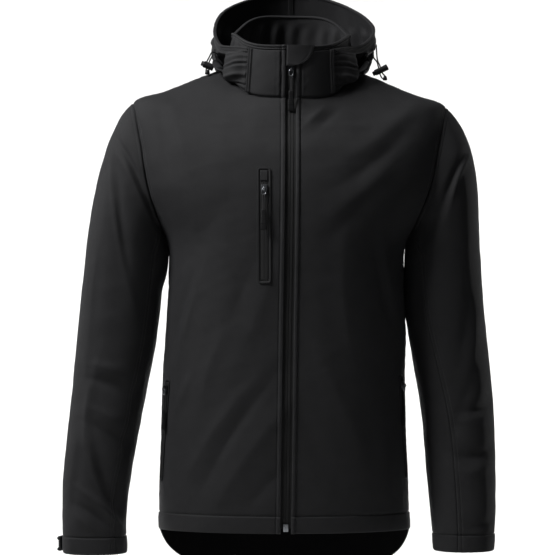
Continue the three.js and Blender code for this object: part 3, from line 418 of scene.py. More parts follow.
def turn_at(at, x):
    """Turn at which the ring at a height stands at a distance x from the middle."""
    at = np.asarray(at, float)
    half = np.where(at < NECK_SEAM, along(BODY, at, "half"), along(COLLAR, at, "half"))
    power = np.where(at < NECK_SEAM, along(BODY, at, "round"), along(COLLAR, at, "round")) / 2
    share = np.minimum(1, np.abs(x) / half)
    return np.sign(x) * np.degrees(np.arcsin(share ** power))


def normal_of(surface, u, v, du, dv, sign):
    """Outward normals of a surface, from its slope each way."""
    across = surface(u, v + dv) - surface(u, v - dv)
    up = surface(u + du, v) - surface(u - du, v)
    return sign * unit(np.cross(across, up))


def body_normal(at, turn):
    at, turn = np.broadcast_arrays(np.asarray(at, float), np.asarray(turn, float))
    below = at < NECK_SEAM
    low = np.where(below, 0.5, NECK_SEAM + 0.5)
    high = np.where(below, NECK_SEAM - 0.6, COLLAR_TOP - 0.5)
    inside = np.clip(at, low, high)
    return normal_of(body, inside, turn, 0.5, 0.5, 1)


def outer_turn(at):
    """Turn of the outer edge of a front or back panel: the side seam, the armhole or the shoulder seam."""
    at = np.asarray(at, float)
    in_armhole = (at > ARMHOLE_LOW + 0.01) & (at < ARMHOLE_TOP - 0.01)
    return np.where(in_armhole, turn_at(at, along(ARMHOLE, np.clip(at, ARMHOLE_LOW, ARMHOLE_TOP), "out")), 90)


def fold_rise(folds, points):
    """Height of the creases at points seen from the front."""
    rise = np.zeros(points.shape[:-1])
    for x, z, lean, long, wide, high, bow, *opens in zip(*folds.values()):
        c, s = cos_deg(lean), sin_deg(lean)
        dx = points[..., 0] - x
        dz = points[..., 2] - z
        length = (dx * s + dz * c) / long
        open_end = np.clip(length * sum(opens), -1, 1)
        side = (dx * c - dz * s - bow * np.minimum(length * length, 4)) / (wide * (1 + 0.55 * open_end))
        rise += high * (1 + 0.5 * open_end) * np.exp(-(np.abs(side) ** 1.7) - length * length)
    return rise


def ripple(points, size, seed):
    """Soft uneven waves of about one size, from a few fixed directions, between -1 and 1."""
    random = np.random.default_rng(seed)
    total = np.zeros(points.shape[:-1])
    for _ in range(9):
        direction = unit(random.normal(size=3)) * (2 * math.pi / (size * random.uniform(0.75, 1.4)))
        total += np.sin(points @ direction + random.uniform(0, 2 * math.pi))
    return total / 9 * 1.6


def spaced(length, low=SEWN, high=SEWN, step=STEP):
    """Shares from 0 to 1 along a length in mm: even steps, with the lines that each edge needs."""
    fixed = np.concatenate([low, length - np.array(high)])
    even = np.linspace(0, length, round(length / step) + 1)
    apart = np.abs(even[:, None] - fixed).min(axis=1) > 0.45 * step
    return np.sort(np.concatenate([fixed, even[apart]])) / length


def even_turns(at, start, end, shares):
    """Turns between two turns on each ring that stand at shares of the way along the cloth."""
    at, start, end = (np.broadcast_to(value, (len(at), 1)) for value in (at, start, end))
    fine = start + (end - start) * np.linspace(0, 1, 160)
    run = distances(body(at, fine))["near"]
    return np.array([np.interp(shares * r[-1], r, f) for r, f in zip(run, fine)])


def distances(points):
    """Distance of each point of a grid from its four edges, along the cloth."""
    across = np.linalg.norm(np.diff(points, axis=1), axis=-1).cumsum(1)
    across = np.hstack([np.zeros((len(points), 1)), across])
    up = np.linalg.norm(np.diff(points, axis=0), axis=-1).cumsum(0)
    up = np.vstack([np.zeros((1, points.shape[1])), up])
    return {"near": across, "far": across[:, -1:] - across, "low": up, "high": up[-1:] - up}


def groove(distance, place, deep=0.42, wide=0.75):
    """Dent that a line of stitches pulls into the cloth."""
    return -deep * np.exp(-(((distance - place) / wide) ** 2))


def ridge(distance, middle, half, high):
    """Half-round roll of cloth."""
    return high * np.sqrt(np.maximum(0, 1 - ((distance - middle) / half) ** 2))


def edge_form(kind, distance):
    """Rise of the outer face near an edge of a panel, by the way the edge is made."""
    roll = -0.8 * np.exp(-((distance / 1.0) ** 2))
    if kind == "seam":
        return roll
    if kind == "stitched":
        puff = 0.35 * smooth(distance, 0.5, 2) * (1 - smooth(distance, 6, 7.6))
        return roll + puff + groove(distance, SEAM_STITCH) + groove(distance, SECOND_STITCH, 0.55)
    if kind == "single":
        return roll + groove(distance, 6.2, 0.5)
    if kind == "bound":
        return ridge(distance, 3.2, 3.2, 1.9) + groove(distance, 6.9, 0.75, 0.9)
    if kind == "rim":
        rolls = ridge(distance, 2.1, 2.1, 2.1) + ridge(distance, 5.9, 1.7, 1.2)
        return rolls + groove(distance, 4.1, 0.5, 0.4) + groove(distance, 7.9, 0.7)
    if kind == "hem":
        band = HEM_RISE + 0.5 * np.sin(np.clip(distance / HEM_DEEP, 0, 1) * math.pi)
        band = band * (1 - smooth(distance, HEM_DEEP - 0.9, HEM_DEEP + 0.5))
        return roll + band + groove(distance, HEM_DEEP + 0.9, 1.3, 1.2)
    return np.zeros_like(distance)


def uneven(rise, points):
    """Rise with the slight waves that all of the cloth has."""
    return rise + 0.45 * ripple(points, 46, 5) + 0.16 * ripple(points, 17, 6)


def pucker(points, distance, reach, seed):
    """Small waves that a line of stitches draws up beside it."""
    return 0.34 * ripple(points, 9, seed) * np.exp(-((distance / reach) ** 2))


class Panel:
    """One piece of cloth: its grids, and its edges' distances."""

    def __init__(self, base, normal, rise, edges, seed, thick=CLOTH):
        self.far = distances(base)
        self.base = base
        self.normal = normal
        own = uneven(rise, base)
        shape = np.zeros(base.shape[:-1])
        for edge, kind in edges.items():
            shape = shape + edge_form(kind, self.far[edge])
            if kind != "seam":
                deep = HEM_DEEP if kind == "hem" else 5
                shape = shape + pucker(base, self.far[edge] - deep, 7, seed)
        under = sum(ridge(self.far[edge], 2.1, 2.1, 1.6) for edge, kind in edges.items() if kind == "rim")
        self.outer = base + normal * (own + shape)[..., None]
        self.inner = base + normal * (own - thick - under)[..., None]
        for grid in (self.outer, self.inner):
            draw_back(grid)

    def line(self, edge, distance, free):
        """Points and outward normals of a line on the outer face at a distance from one edge, with a length
        left free at both ends."""
        away = self.far[edge]
        points, normals = [], []
        upright = edge in ("near", "far")
        for k in range(away.shape[0] if upright else away.shape[1]):
            row = np.s_[k] if upright else np.s_[:, k]
            d, p, n = away[row], self.outer[row], self.normal[row]
            if edge in ("far", "high"):
                d, p, n = d[::-1], p[::-1], n[::-1]
            if d[-1] > distance:
                points.append(at_places(distance, d, p))
                normals.append(at_places(distance, d, n))
        points, normals = np.array(points), unit(np.array(normals))
        run = run_along(points)
        keep = (run >= free) & (run <= run[-1] - free)
        return points[keep], normals[keep]


def draw_back(grid):
    """Draws the edges of a grid back along the cloth by half a seam's gap."""
    near, far = (np.s_[:, 0], np.s_[:, 2]), (np.s_[:, -1], np.s_[:, -3])
    low, high = (np.s_[0], np.s_[2]), (np.s_[-1], np.s_[-3])
    for edge, inside in (near, far, low, high):
        grid[edge] += unit(grid[inside] - grid[edge]) * SEAM_HALF_GAP


# Meshes


def link(name, points, faces, materials):
    """Smooth mesh from points in mm, linked to the scene."""
    mesh = bpy.data.meshes.new(name)
    mesh.from_pydata((np.asarray(points) * MM).tolist(), [], [list(face) for face in faces])
    mesh.update()
    mesh.shade_smooth()
    piece = bpy.data.objects.new(name, mesh)
    bpy.context.scene.collection.objects.link(piece)
    for item in materials:
        mesh.materials.append(item)
    return piece


def grid_faces(rows, columns, first=0):
    i, j = np.meshgrid(np.arange(rows - 1), np.arange(columns - 1), indexing="ij")
    a = first + i * columns + j
    return np.stack([a, a + 1, a + columns + 1, a + columns], -1).reshape(-1, 4)


def shell(name, outer, inner, normal, materials, grain=None):
    """Closed thin shell from the grids of its outer and inner face. A second material is the inner face's."""
    rows, columns = outer.shape[:2]
    count = rows * columns
    points = np.concatenate([outer.reshape(-1, 3), inner.reshape(-1, 3)])
    front = grid_faces(rows, columns)
    back = grid_faces(rows, columns, count)[:, ::-1]
    ring = np.concatenate([
        np.arange(columns),
        np.arange(1, rows) * columns + columns - 1,
        (rows - 1) * columns + np.arange(columns - 2, -1, -1),
        np.arange(rows - 2, 0, -1) * columns,
    ])
    after = np.roll(ring, -1)
    rim = np.stack([ring + count, after + count, after, ring], -1)
    faces = np.concatenate([front, back, rim])
    middle = (rows // 2, columns // 2)
    a, b, d = outer[middle], outer[middle[0], middle[1] + 1], outer[middle[0] + 1, middle[1]]
    if np.dot(np.cross(b - a, d - a), normal[middle]) < 0:
        faces = faces[:, ::-1]
    piece = link(name, points, faces, materials)
    mesh = piece.data
    if len(materials) > 1:
        index = np.zeros(len(faces), np.int32)
        index[len(front):len(front) + len(back)] = 1
        mesh.polygons.foreach_set("material_index", index)
    if grain is None:
        far = distances(outer)
        grain = np.stack([far["near"], far["low"]], -1)
    both = np.concatenate([grain.reshape(-1, 2), grain.reshape(-1, 2)]) * MM
    layer = mesh.uv_layers.new(name="grain")
    layer.data.foreach_set("uv", both[faces.ravel()].astype(np.float32).ravel())
    return piece


def dress(piece, *nodes, slot="shell", body_name="jacket", sheet=None, rests_on=(), with_pieces=()):
    """Rides a piece on its body and hides the nodes that it stands for. A sheet's cut is worked out but not
    kept.
    """
    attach(piece, body_name)
    if nodes:
        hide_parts(*nodes)
    if sheet is not None:
        state_cut(sheet)
    return piece


def state_cut(base):
    far = distances(base)
    a = np.cross(base[:-1, 1:] - base[:-1, :-1], base[1:, :-1] - base[:-1, :-1])
    b = np.cross(base[1:, :-1] - base[1:, 1:], base[:-1, 1:] - base[1:, 1:])
    area = (np.linalg.norm(a, axis=-1).sum() + np.linalg.norm(b, axis=-1).sum()) / 2 * MM * MM
    wide = far["near"][:, -1].max() * MM
    long = far["low"][-1].max() * MM
    area = min(max(area, 0.3 * wide * long), wide * long)


def beads(paths, pitch, wide):
    """Stitches along lines on the cloth: each is a short bead of thread, sunk at both ends."""
    stations = np.array([-1, -0.6, 0.6, 1]) * STITCH_LONG / 2
    radii = np.array([0.2, 1, 1, 0.2]) * wide / 2
    lifts = np.array([-0.3, 0.05, 0.05, -0.3])
    sides = 5
    around = ring_angles(sides)
    points, faces = [], []
    block = grid_faces(len(stations), sides + 1)
    block = np.where(block % (sides + 1) == sides, block - sides, block)
    block = block // (sides + 1) * sides + block % (sides + 1)
    for path, normals in paths:
        run = run_along(path)
        centres = np.arange(pitch / 2, run[-1], pitch)

        middle = at_places(centres, run, path)
        out = unit(at_places(centres, run, normals))
        way = unit(at_places(centres + 0.4, run, path) - at_places(centres - 0.4, run, path))
        side = unit(np.cross(way, out))
        for c, o, w, s in zip(middle, out, way, side):
            spine = c + stations[:, None] * w + lifts[:, None] * o
            circle = np.cos(around)[None, :, None] * s + np.sin(around)[None, :, None] * o
            ring = radii[:, None, None] * circle
            faces.append(block + len(stations) * sides * len(points))
            points.append((spine[:, None] + ring).reshape(-1, 3))
    return np.concatenate(points), np.concatenate(faces)


def sweep(path, out, profile, closed=False):
    """Grid of points of a cross-section, as (aside, out) pairs in mm, carried along a path."""
    if closed:
        way = np.roll(path, -1, axis=0) - np.roll(path, 1, axis=0)
    else:
        way = np.gradient(path, axis=0)
    way = unit(way)
    side = unit(np.cross(way, out))
    profile = np.array(profile, float)
    return path[:, None] + side[:, None] * profile[None, :, :1] + out[:, None] * profile[None, :, 1:]


def wrapped_faces(rows, columns, closed=False):
    """Faces of a grid whose rows are rings: with flat ends, or with its last row joined to its first."""
    faces = []
    for i in range(rows if closed else rows - 1):
        for j in range(columns):
            k = (j + 1) % columns
            below = (i + 1) % rows
            faces.append((i * columns + j, i * columns + k, below * columns + k, below * columns + j))
    if not closed:
        faces.append(tuple(range(columns))[::-1])
        faces.append(tuple((rows - 1) * columns + j for j in range(columns)))
    return faces


def swept_piece(name, grid, materials, closed=False):
    return link(name, grid.reshape(-1, 3), wrapped_faces(*grid.shape[:2], closed), materials)


# Panels


def body_grid(at, turn, folds):
    """Points, normals and rise of the creases, which fade towards the seams and the hem."""
    base = body(at, turn)
    normal = body_normal(at, turn)
    edge = outer_turn(at)
    measured = np.minimum(np.minimum(np.abs(turn), np.abs(360 - np.abs(turn))), np.abs(180 - np.abs(turn)))
    fade = smooth(edge - measured, 0, 14) * smooth(at, 12, 60) * (1 - smooth(at, 700, 790))
    rise = fold_rise(folds, base) * fade
    return base, normal, rise


def front_panel(side):
    at = spaced(NECK_SEAM, HEMMED)[:, None] * NECK_SEAM
    turn = side * even_turns(at, turn_at(at, ZIP_HALF), outer_turn(at), spaced(215, ROLLED, ROLLED))
    base, normal, rise = body_grid(at, turn, FRONT_FOLDS)
    edges = {"near": "bound", "far": "stitched", "low": "hem", "high": "seam"}
    return Panel(base, normal, rise, edges, seed=11 + side)


def back_panel():
    at = spaced(NECK_SEAM, HEMMED, step=BACK_STEP)[:, None] * NECK_SEAM
    edge = outer_turn(at)
    turn = even_turns(at, 180 - edge, 180 + edge, spaced(500, step=BACK_STEP))
    base, normal, rise = body_grid(at, turn, BACK_FOLDS)
    edges = {"near": "seam", "far": "seam", "low": "hem", "high": "seam"}
    return Panel(base, normal, rise, edges, seed=17)


def collar_panel():
    tall = COLLAR_TOP - NECK_SEAM
    at = NECK_SEAM + spaced(tall, SEWN, ROLLED, COLLAR_STEPS[0])[:, None] * tall
    start = turn_at(at, ZIP_HALF)
    turn = even_turns(at, start, 360 - start, spaced(520, ROLLED, ROLLED, COLLAR_STEPS[1]))
    base = body(at, turn)
    normal = body_normal(at, turn)
    behind = 1 - smooth(np.abs(turn - 180), 100, 150)
    height = (at - NECK_SEAM) / tall
    sway = 60 * np.sin(np.radians(turn * 2.3)) + 110 * height
    gathers = np.sin(np.radians(turn * 21 + sway)) * (0.6 + 0.4 * np.sin(np.radians(turn * 3.7 + 40)))
    rise = 3.4 * behind * gathers * smooth(1 - height, 0.08, 0.4) * smooth(height, 0, 0.15)
    rise = rise + 0.6 * ripple(base, 22, 3) * smooth(1 - height, 0.05, 0.3)
    edges = {"near": "bound", "far": "bound", "high": "rim", "low": "seam"}
    return Panel(base, normal, rise, edges, seed=19)


def laid_panel(at, turn, lift, thick, edges, seed):
    """A piece laid on the body or the collar, at a lift over its smooth surface."""
    base = body(at, turn)
    normal = body_normal(at, turn)
    lifted = base + normal * (lift + thick + 0 * turn)[..., None]
    return Panel(lifted, normal, 0, edges, thick=thick, seed=seed)


def collar_front_panel(side):
    at = mix(NECK_SEAM + 2, COLLAR_TOP - EDGE_WIDTH - 2.4, np.linspace(0, 1, 34))[:, None]
    start = turn_at(at, ZIP_HALF + EDGE_WIDTH + 2.4)
    turn = mix(start, COLLAR_EDGE, spaced(52, SEWN, ROLLED, 1.8)[None, :])
    lift = LAID_GAP + 1.7 * smooth(turn, COLLAR_EDGE * 0.86, COLLAR_EDGE * 0.95)
    edges = {"near": "single", "far": "rim", "low": "seam"}
    return laid_panel(at, side * turn, lift, 1.3, edges, 37)


def chin_guard_panel():
    """Guard that folds over the top of the zip, with a round lower corner."""
    top, deep, wide, inner = COLLAR_TOP - 0.5, 32, 34, -ZIP_HALF + 0.8
    at = top - deep * (1 - np.sin(np.linspace(0, 1, 26)[:, None] * math.pi / 2))
    share = (top - at) / deep
    reach = mix(inner, wide, 0.12 + 0.88 * np.sqrt(np.maximum(0, 1 - share * share)))
    turn = turn_at(at, mix(inner, reach, np.linspace(0, 1, 30)[None, :]))
    edges = {"far": "stitched", "near": "seam", "low": "stitched"}
    return laid_panel(at + 0 * turn, turn, EDGE_RISE + 1.7, 1.3, edges, 41)


def arm_point(arm, z, angle):
    rows = arm["rows"]
    outer, inner = along(rows, z, "outer"), along(rows, z, "inner")
    x = (outer + inner) / 2 + (outer - inner) / 2 * raised(cos_deg(angle), 0.93)
    y = along(rows, z, "mid") - along(rows, z, "deep") * raised(sin_deg(angle), 0.93)
    x, y, z = np.broadcast_arrays(arm["side"] * x, y, z)
    return np.stack([x, y, z], -1).astype(float)


def armhole_point(side, angle):
    at = mix(ARMHOLE_LOW, ARMHOLE_TOP, (1 + cos_deg(angle)) / 2)
    out = along(ARMHOLE, at, "out")
    at_end = (at > ARMHOLE_TOP - 0.01) | (at < ARMHOLE_LOW + 0.01)
    turn = np.where(at_end, 90, turn_at(at, out))
    return body(at, side * np.where(sin_deg(angle) >= 0, turn, 180 - turn))


def sleeve(arm, down, angle):
    """Surface of a sleeve. down is 0 at the armhole, 1 at the first arm ring, 2 at the cuff."""
    down, angle = np.broadcast_arrays(np.asarray(down, float), np.asarray(angle, float))
    first, last = arm["rows"]["z"][0], arm["rows"]["z"][-1]
    turned = angle - arm["twist"] * smooth(down, 0.6, 1.8)
    limb = arm_point(arm, mix(first, last, np.maximum(down, 1) - 1), turned)
    start = armhole_point(arm["side"], angle)
    end = arm_point(arm, np.full(down.shape, first), turned)
    low = (1 - cos_deg(angle)) / 2
    leave = np.stack([
        arm["side"] * mix(arm["cap_out"], 0.5, low), -0.25 * sin_deg(angle), -mix(arm["cap_down"], 0.85, low),
    ], -1)
    arrive = unit(arm_point(arm, np.full(down.shape, first - 6), turned) - end)
    chord = np.linalg.norm(start - end, axis=-1)
    t = np.clip(down, 0, 1)
    full = mix(arm["cap_full"], 0.5 * chord, low)
    cap = start * ((1 + 2 * t) * (1 - t) ** 2)[..., None] + end * (t * t * (3 - 2 * t))[..., None]
    cap = cap + leave * (full * t * (1 - t) ** 2)[..., None] - arrive * (chord * t * t * (1 - t))[..., None]
    return np.where((down >= 1)[..., None], limb, cap)


def sleeve_normal(arm, down, angle):
    inside = np.clip(down, 0.012, 1.99)
    return normal_of(lambda u, v: sleeve(arm, u, v), inside, angle, 0.01, 0.6, arm["side"])


def sleeve_panel(which, arm, start, end):
    """The top sleeve, whose turn starts below 0, or the under sleeve."""
    top = start < 0
    length = arm["rows"]["z"][0] - arm["rows"]["z"][-1]
    cap = spaced(190, ROLLED, (0,))
    limb = spaced(length, (0,), HEMMED, LIMB_STEP)
    down = np.concatenate([cap[:-1], 1 + limb])[:, None]
    angle = mix(start, end, spaced((end - start) * SLEEVE_DEGREE, SEWN, ROLLED if top else SEWN))[None, :]
    base = sleeve(arm, down, angle)
    normal = sleeve_normal(arm, down, angle)
    back = dict(SLEEVE_BACK_FOLDS)
    for column in ("x", "lean", "bow"):
        back[column] = arm["side"] * back[column]
    facing = normal[..., 1]
    hem = (2 - down) * length
    fade = smooth(down, 0.02, 0.25) * smooth(hem, CUFF_DEEP, CUFF_DEEP + 22)
    front_share = smooth(-facing, 0.05, 0.6)
    back_share = smooth(facing, 0.05, 0.6)
    rise = (fold_rise(SLEEVE_FOLDS[which], base) * front_share + fold_rise(back, base) * back_share) * fade
    towards_body = smooth(-arm["side"] * normal[..., 0], 0.75, 0.98)
    touch_z, touch_long, touch = arm["touch"]
    rise = rise + touch * towards_body * np.exp(-(((base[..., 2] - touch_z) / touch_long) ** 4))
    low, far = ("stitched", "single") if top else ("seam", "seam")
    edges = {"low": low, "high": "hem", "near": "seam", "far": far}
    return Panel(base, normal, rise, edges, seed=23 + arm["side"])


def cuff_tab_panel(arm):
    length = arm["rows"]["z"][0] - arm["rows"]["z"][-1]
    start, end, lift = arm["tab"]
    across = np.linspace(-TAB_HALF, TAB_HALF, 15)[:, None]
    share = np.linspace(0, 1, 44)[None, :]
    corner = 3 * smooth(np.abs(across), TAB_HALF - 3, TAB_HALF) * smooth(share, 0.9, 1)
    angle = mix(start, end, share) - corner + arm["twist"]
    down = 2 - (CUFF_DEEP / 2 - across) / length + 0 * share
    base = sleeve(arm, down, angle)
    normal = sleeve_normal(arm, down, angle)
    rise = HEM_RISE + LAID_GAP + lift * smooth(share, 0.55, 1) + 2.4
    edges = {"near": "seam", "far": "bound", "low": "bound", "high": "bound"}
    lifted = base + normal * (rise - EDGE_RISE)[..., None]
    return Panel(lifted, normal, 0, edges, thick=1.4, seed=29)


def hood_rim(share):
    angle = share * HOOD_RIM["turn"]
    y = HOOD_RIM["mid"] + HOOD_RIM["deep"] * cos_deg(angle)
    front = HOOD_RIM["mid"] + HOOD_RIM["deep"] * cos_deg(HOOD_RIM["turn"])
    z = HOOD_RIM["front"] + (y - front) * HOOD_RIM["tilt"] - HOOD_RIM["dip"] * sin_deg(angle) ** 2
    aside = HOOD_RIM["aside"] * sin_deg(angle) ** 2 - HOOD_RIM["skew"] * sin_deg(2 * angle) ** 2
    return np.stack([HOOD_RIM["half"] * sin_deg(angle) + aside + NECK_MIDDLE[0], y, z], -1)


def hood(rise, share):
    """Surface of the hood: share is -1 and 1 at its front edges, rise runs from its foot to its rim."""
    rise, share = np.broadcast_arrays(np.asarray(rise, float), np.asarray(share, float))
    foot_turn = 180 - share * (180 - COLLAR_EDGE - 2)
    foot = body(NECK_SEAM - 8, foot_turn) + 3 * body_normal(NECK_SEAM - 8, foot_turn)
    rim = hood_rim(share)
    behind = cos_deg(np.minimum(np.abs(share), 1) * 90) ** 6
    away = unit((rim - np.array([*NECK_MIDDLE, 0])) * np.array([1, 1, 0]))
    aside = 0 * rise + HOOD_BAG["aside"]
    reach = HOOD_BAG["low"] + HOOD_BAG["low_back"] * behind
    sink = reach * (HOOD_BAG["slope"] + HOOD_BAG["slope_back"] * behind ** 1.3)
    low = foot + away * reach[..., None]
    low = low + np.stack([aside, 0 * rise, -sink], -1)
    high = rim + away * (HOOD_BAG["out"] + HOOD_BAG["back"] * behind)[..., None]
    high = high + np.stack([aside, 0 * rise, -(HOOD_BAG["drop"] + HOOD_BAG["drop_back"] * behind)], -1)
    t = rise[..., None]
    bag = foot * (1 - t) ** 3 + 3 * low * t * (1 - t) ** 2 + 3 * high * t * t * (1 - t) + rim * t ** 3
    edge_turn = np.sign(share) * (COLLAR_EDGE + 0.6 + 34 * (1 - np.abs(share)) / 0.2)
    edge_at = mix(NECK_SEAM + 5, COLLAR_TOP - 9, rise)
    edge = body(edge_at, edge_turn) + HOOD_STAND * body_normal(edge_at, edge_turn)
    return mix(bag, edge, smooth(np.abs(share), 0.82, 1)[..., None])


def hood_normal(rise, share):
    return normal_of(hood, np.clip(rise, 0.006, 0.994), np.clip(share, -0.994, 0.994), 0.005, 0.005, -1)


def hood_panel(side):
    rise = spaced(300, SEWN, ROLLED)[:, None]
    share = side * spaced(330, SEWN, SEWN)[None, :]
    base = hood(rise, share)
    normal = hood_normal(rise, share)
    off = np.abs(share)
    below_rim = 1 - smooth(rise, 0.86, 0.92)
    gathered = smooth(off, 0.8, 0.95)
    sway = 500 * (1 - off) + 90 * np.sin(rise * 9)
    waves = np.sin(np.radians(rise * 2300 + sway)) * (0.65 + 0.35 * np.sin(rise * 23))
    pouch = 7 * smooth(off, 0.83, 0.9) * (1 - smooth(off, 0.93, 0.99)) * smooth(rise, 0.08, 0.4)
    # The sides of the hood sink into a hollow. Its outer faces there later take the dark lining, as painted
    # shade for the deep shadow in it.
    top = 0.84 + 0.1 * smooth(off, 0.77, 0.81)
    hollow = smooth(off, 0.46, 0.64) * (1 - smooth(off, 0.85, 0.885))
    hollow = hollow * smooth(rise, 0.03, 0.18) * (1 - smooth(rise, top - 0.13, top))
    drawn = np.sin(np.radians(off * 3300 + 70 * np.sin(rise * 12)))
    drawn = drawn * smooth(rise, 0.45, 0.75) * (1 - gathered)
    sag = np.sin(np.radians(rise * 900 + share * 420)) * (1 - gathered) * smooth(rise, 0.1, 0.4)
    form = 1.7 * gathered * waves * smooth(rise, 0.02, 0.15) + pouch - 14 * hollow
    form = form + 2.6 * drawn + 2 * sag + 1.2 * ripple(base, 40, 8) * smooth(rise, 0, 0.2)
    edges = {"near": "single", "far": "seam", "high": "rim", "low": "seam"}
    panel = Panel(base, normal, form * below_rim, edges, seed=31 + side)
    panel.gapes = hollow  # where the dark lining is laid on the outer face as painted shade
    return panel


def at_height(z, x):
    """The "at" of the front at heights z and distances x, found by halving."""
    low = np.zeros(np.shape(z))
    high = np.full(np.shape(z), float(COLLAR_TOP))
    for _ in range(32):
        middle = (low + high) / 2
        below = body(middle, turn_at(middle, x))[..., 2] < z
        low = np.where(below, middle, low)
        high = np.where(below, high, middle)
    return (low + high) / 2


def on_front(side, at, turn, lift):
    """Points and normals over the creased front."""
    base, normal, rise = body_grid(at, side * turn, FRONT_FOLDS)
    return base + normal * (uneven(rise, base) + lift)[..., None], normal


def pocket_place(name, z, aside, lift):
    """Points over the front at heights z and distances aside of a pocket's middle line."""
    pocket = POCKETS[name]
    z, aside = np.broadcast_arrays(np.asarray(z, float), np.asarray(aside, float))
    if name == "chest_pocket":
        at = at_height(z, np.full(z.shape, CHEST_FROM + 10.0))
        middle = turn_at(at, CHEST_FROM + CHEST_LEAN * np.clip(at - 480, -120, 120) + pocket["wide"] / 2)
    else:
        at = np.interp(z, HIP_HEIGHTS[0], HIP_HEIGHTS[1])
        middle = along(HIP_LINE, at, "turn")
    speed = np.linalg.norm(body(at, middle + 0.5) - body(at, middle - 0.5), axis=-1)
    return on_front(pocket["side"], at, middle + aside / speed, lift)


HIP_AT = np.linspace(0, 300, 200)
HIP_HEIGHTS = (body(HIP_AT, along(HIP_LINE, HIP_AT, "turn"))[:, 2], HIP_AT)


# Materials


def linear(hex_colour):
    """sRGB hex to a linear colour."""
    parts = [int(hex_colour[i:i + 2], 16) / 255 for i in (1, 3, 5)]
    return [c / 12.92 if c <= 0.04045 else ((c + 0.055) / 1.055) ** 2.4 for c in parts] + [1]


class Surface:
    """A new material: a Principled shader whose colour, gloss and dents come from texture nodes."""

    def __init__(self, name, **inputs):
        self.material = bpy.data.materials.new(name)
        self.material.use_nodes = True
        self.tree = self.material.node_tree
        self.shader = self.tree.nodes["Principled BSDF"]
        for key, value in inputs.items():
            self.shader.inputs[key.replace("_", " ")].default_value = value

    def add(self, kind, inputs=(), links=(), **settings):
        """Adds a node with its settings, its input values and its links as (input, node, output)."""
        node = self.tree.nodes.new(kind)
        for key, value in settings.items():
            setattr(node, key, value)
        for key, value in dict(inputs).items():
            node.inputs[key].default_value = value
        for socket, source, output in links:
            self.tree.links.new(source.outputs[output], node.inputs[socket])
        return node

    def maths(self, operation, inputs, *links):
        return self.add("ShaderNodeMath", inputs, links, operation=operation)

    def noise(self, **inputs):
        where = self.add("ShaderNodeTexCoord")
        return self.add("ShaderNodeTexNoise", inputs, [("Vector", where, "Object")])

    def bands(self, direction, source, output, **inputs):
        return self.add("ShaderNodeTexWave", inputs, [("Vector", source, output)], bands_direction=direction)

    def grain(self, scale):
        """The cloth's own coordinates, across and along its grain, times a scale."""
        place = self.add("ShaderNodeUVMap", uv_map="grain")
        return self.add("ShaderNodeVectorMath", {1: (scale, scale, 1)}, [(0, place, 0)], operation="MULTIPLY")

    def colour(self, share, output, low, high):
        """Mixes the base colour from two colours, each an sRGB hex or a linear colour."""
        low, high = (linear(value) if isinstance(value, str) else value for value in (low, high))
        colours = {6: low, 7: high}
        mixed = self.add("ShaderNodeMix", colours, [(0, share, output)], data_type="RGBA")
        self.tree.links.new(mixed.outputs[2], self.shader.inputs["Base Color"])

    def gloss(self, share, low, high):
        rough = self.add("ShaderNodeMapRange", {3: low, 4: high}, [(0, share, 0)])
        self.tree.links.new(rough.outputs[0], self.shader.inputs["Roughness"])

    def dents(self, height, strength, deep):
        dent = self.add("ShaderNodeBump", {"Strength": strength, "Distance": deep}, [("Height", height, 0)])
        self.tree.links.new(dent.outputs[0], self.shader.inputs["Normal"])


def softshell(low, high):
    """Polyester softshell face: a tight plain weave, matt, with a faint bloom of light off its fibres at
    grazing angles. The real thread is 0.3 mm and is drawn three times as coarse, or it would not show."""
    drawn_thread = 0.9
    face = Surface(
        "softshell_face", Roughness=0.7, Specular_IOR_Level=0.35, IOR=1.45,
        Sheen_Weight=0.04, Sheen_Roughness=0.45, Sheen_Tint=linear("#c9ccd2"),
    )
    place = face.grain(1 / (drawn_thread * MM))
    warp, weft = (face.bands(way, place, 0, Scale=0.5, Distortion=0.6, Detail=1.0) for way in "XY")
    yarns = face.maths("MAXIMUM", {}, (0, warp, 1), (1, weft, 1))
    mottle = face.noise(Scale=55, Detail=4, Roughness=0.6)
    grit = face.noise(Scale=900, Detail=2)
    # Colour: a random mottle and grit of tone, plus painted shade that darkens the gaps between the yarns and
    # leaves their crests lighter.
    share = face.maths("MULTIPLY", {1: 0.45}, (0, mottle, 0))
    share = face.maths("MULTIPLY_ADD", {1: 0.3}, (0, yarns, 0), (2, share, 0))
    share = face.maths("MULTIPLY_ADD", {1: 0.25}, (0, grit, 0), (2, share, 0))
    face.colour(share, 0, low, high)
    face.dents(face.maths("MULTIPLY_ADD", {1: 0.6}, (0, grit, 0), (2, yarns, 0)), 0.45, 0.0003)
    return face


def fleece_lining():
    """Brushed polyester fleece: short matt nap with no weave, darker than the face. It is also laid on the
    outer face of the hood's hollows as painted shade.
    """
    face = Surface("brushed_fleece_lining", Roughness=0.95, Specular_IOR_Level=0.1, IOR=1.4)
    nap = face.noise(Scale=420, Detail=5, Roughness=0.7)
    face.colour(nap, 0, "#070708", "#101011")
    face.dents(nap, 0.5, 0.0008)
    return face


def woven_tape():
    """Polyester zip tape: fine upright ribs and a slight gloss from the coil that is woven under it."""
    face = Surface("woven_zip_tape", Roughness=0.72, IOR=1.45)
    place = face.grain(1 / MM)
    ribs = face.bands("X", place, 0, Scale=0.42)
    weft = face.bands("Y", place, 0, Scale=0.5, Distortion=1.5)
    height = face.maths("MULTIPLY_ADD", {1: 0.4}, (0, weft, 1), (2, ribs, 1))
    # Painted shade: the tape is darker between its ribs and lighter on them.
    face.colour(height, 0, "#09090a", "#19191a")
    face.dents(height, 0.6, 0.0005)
    return face


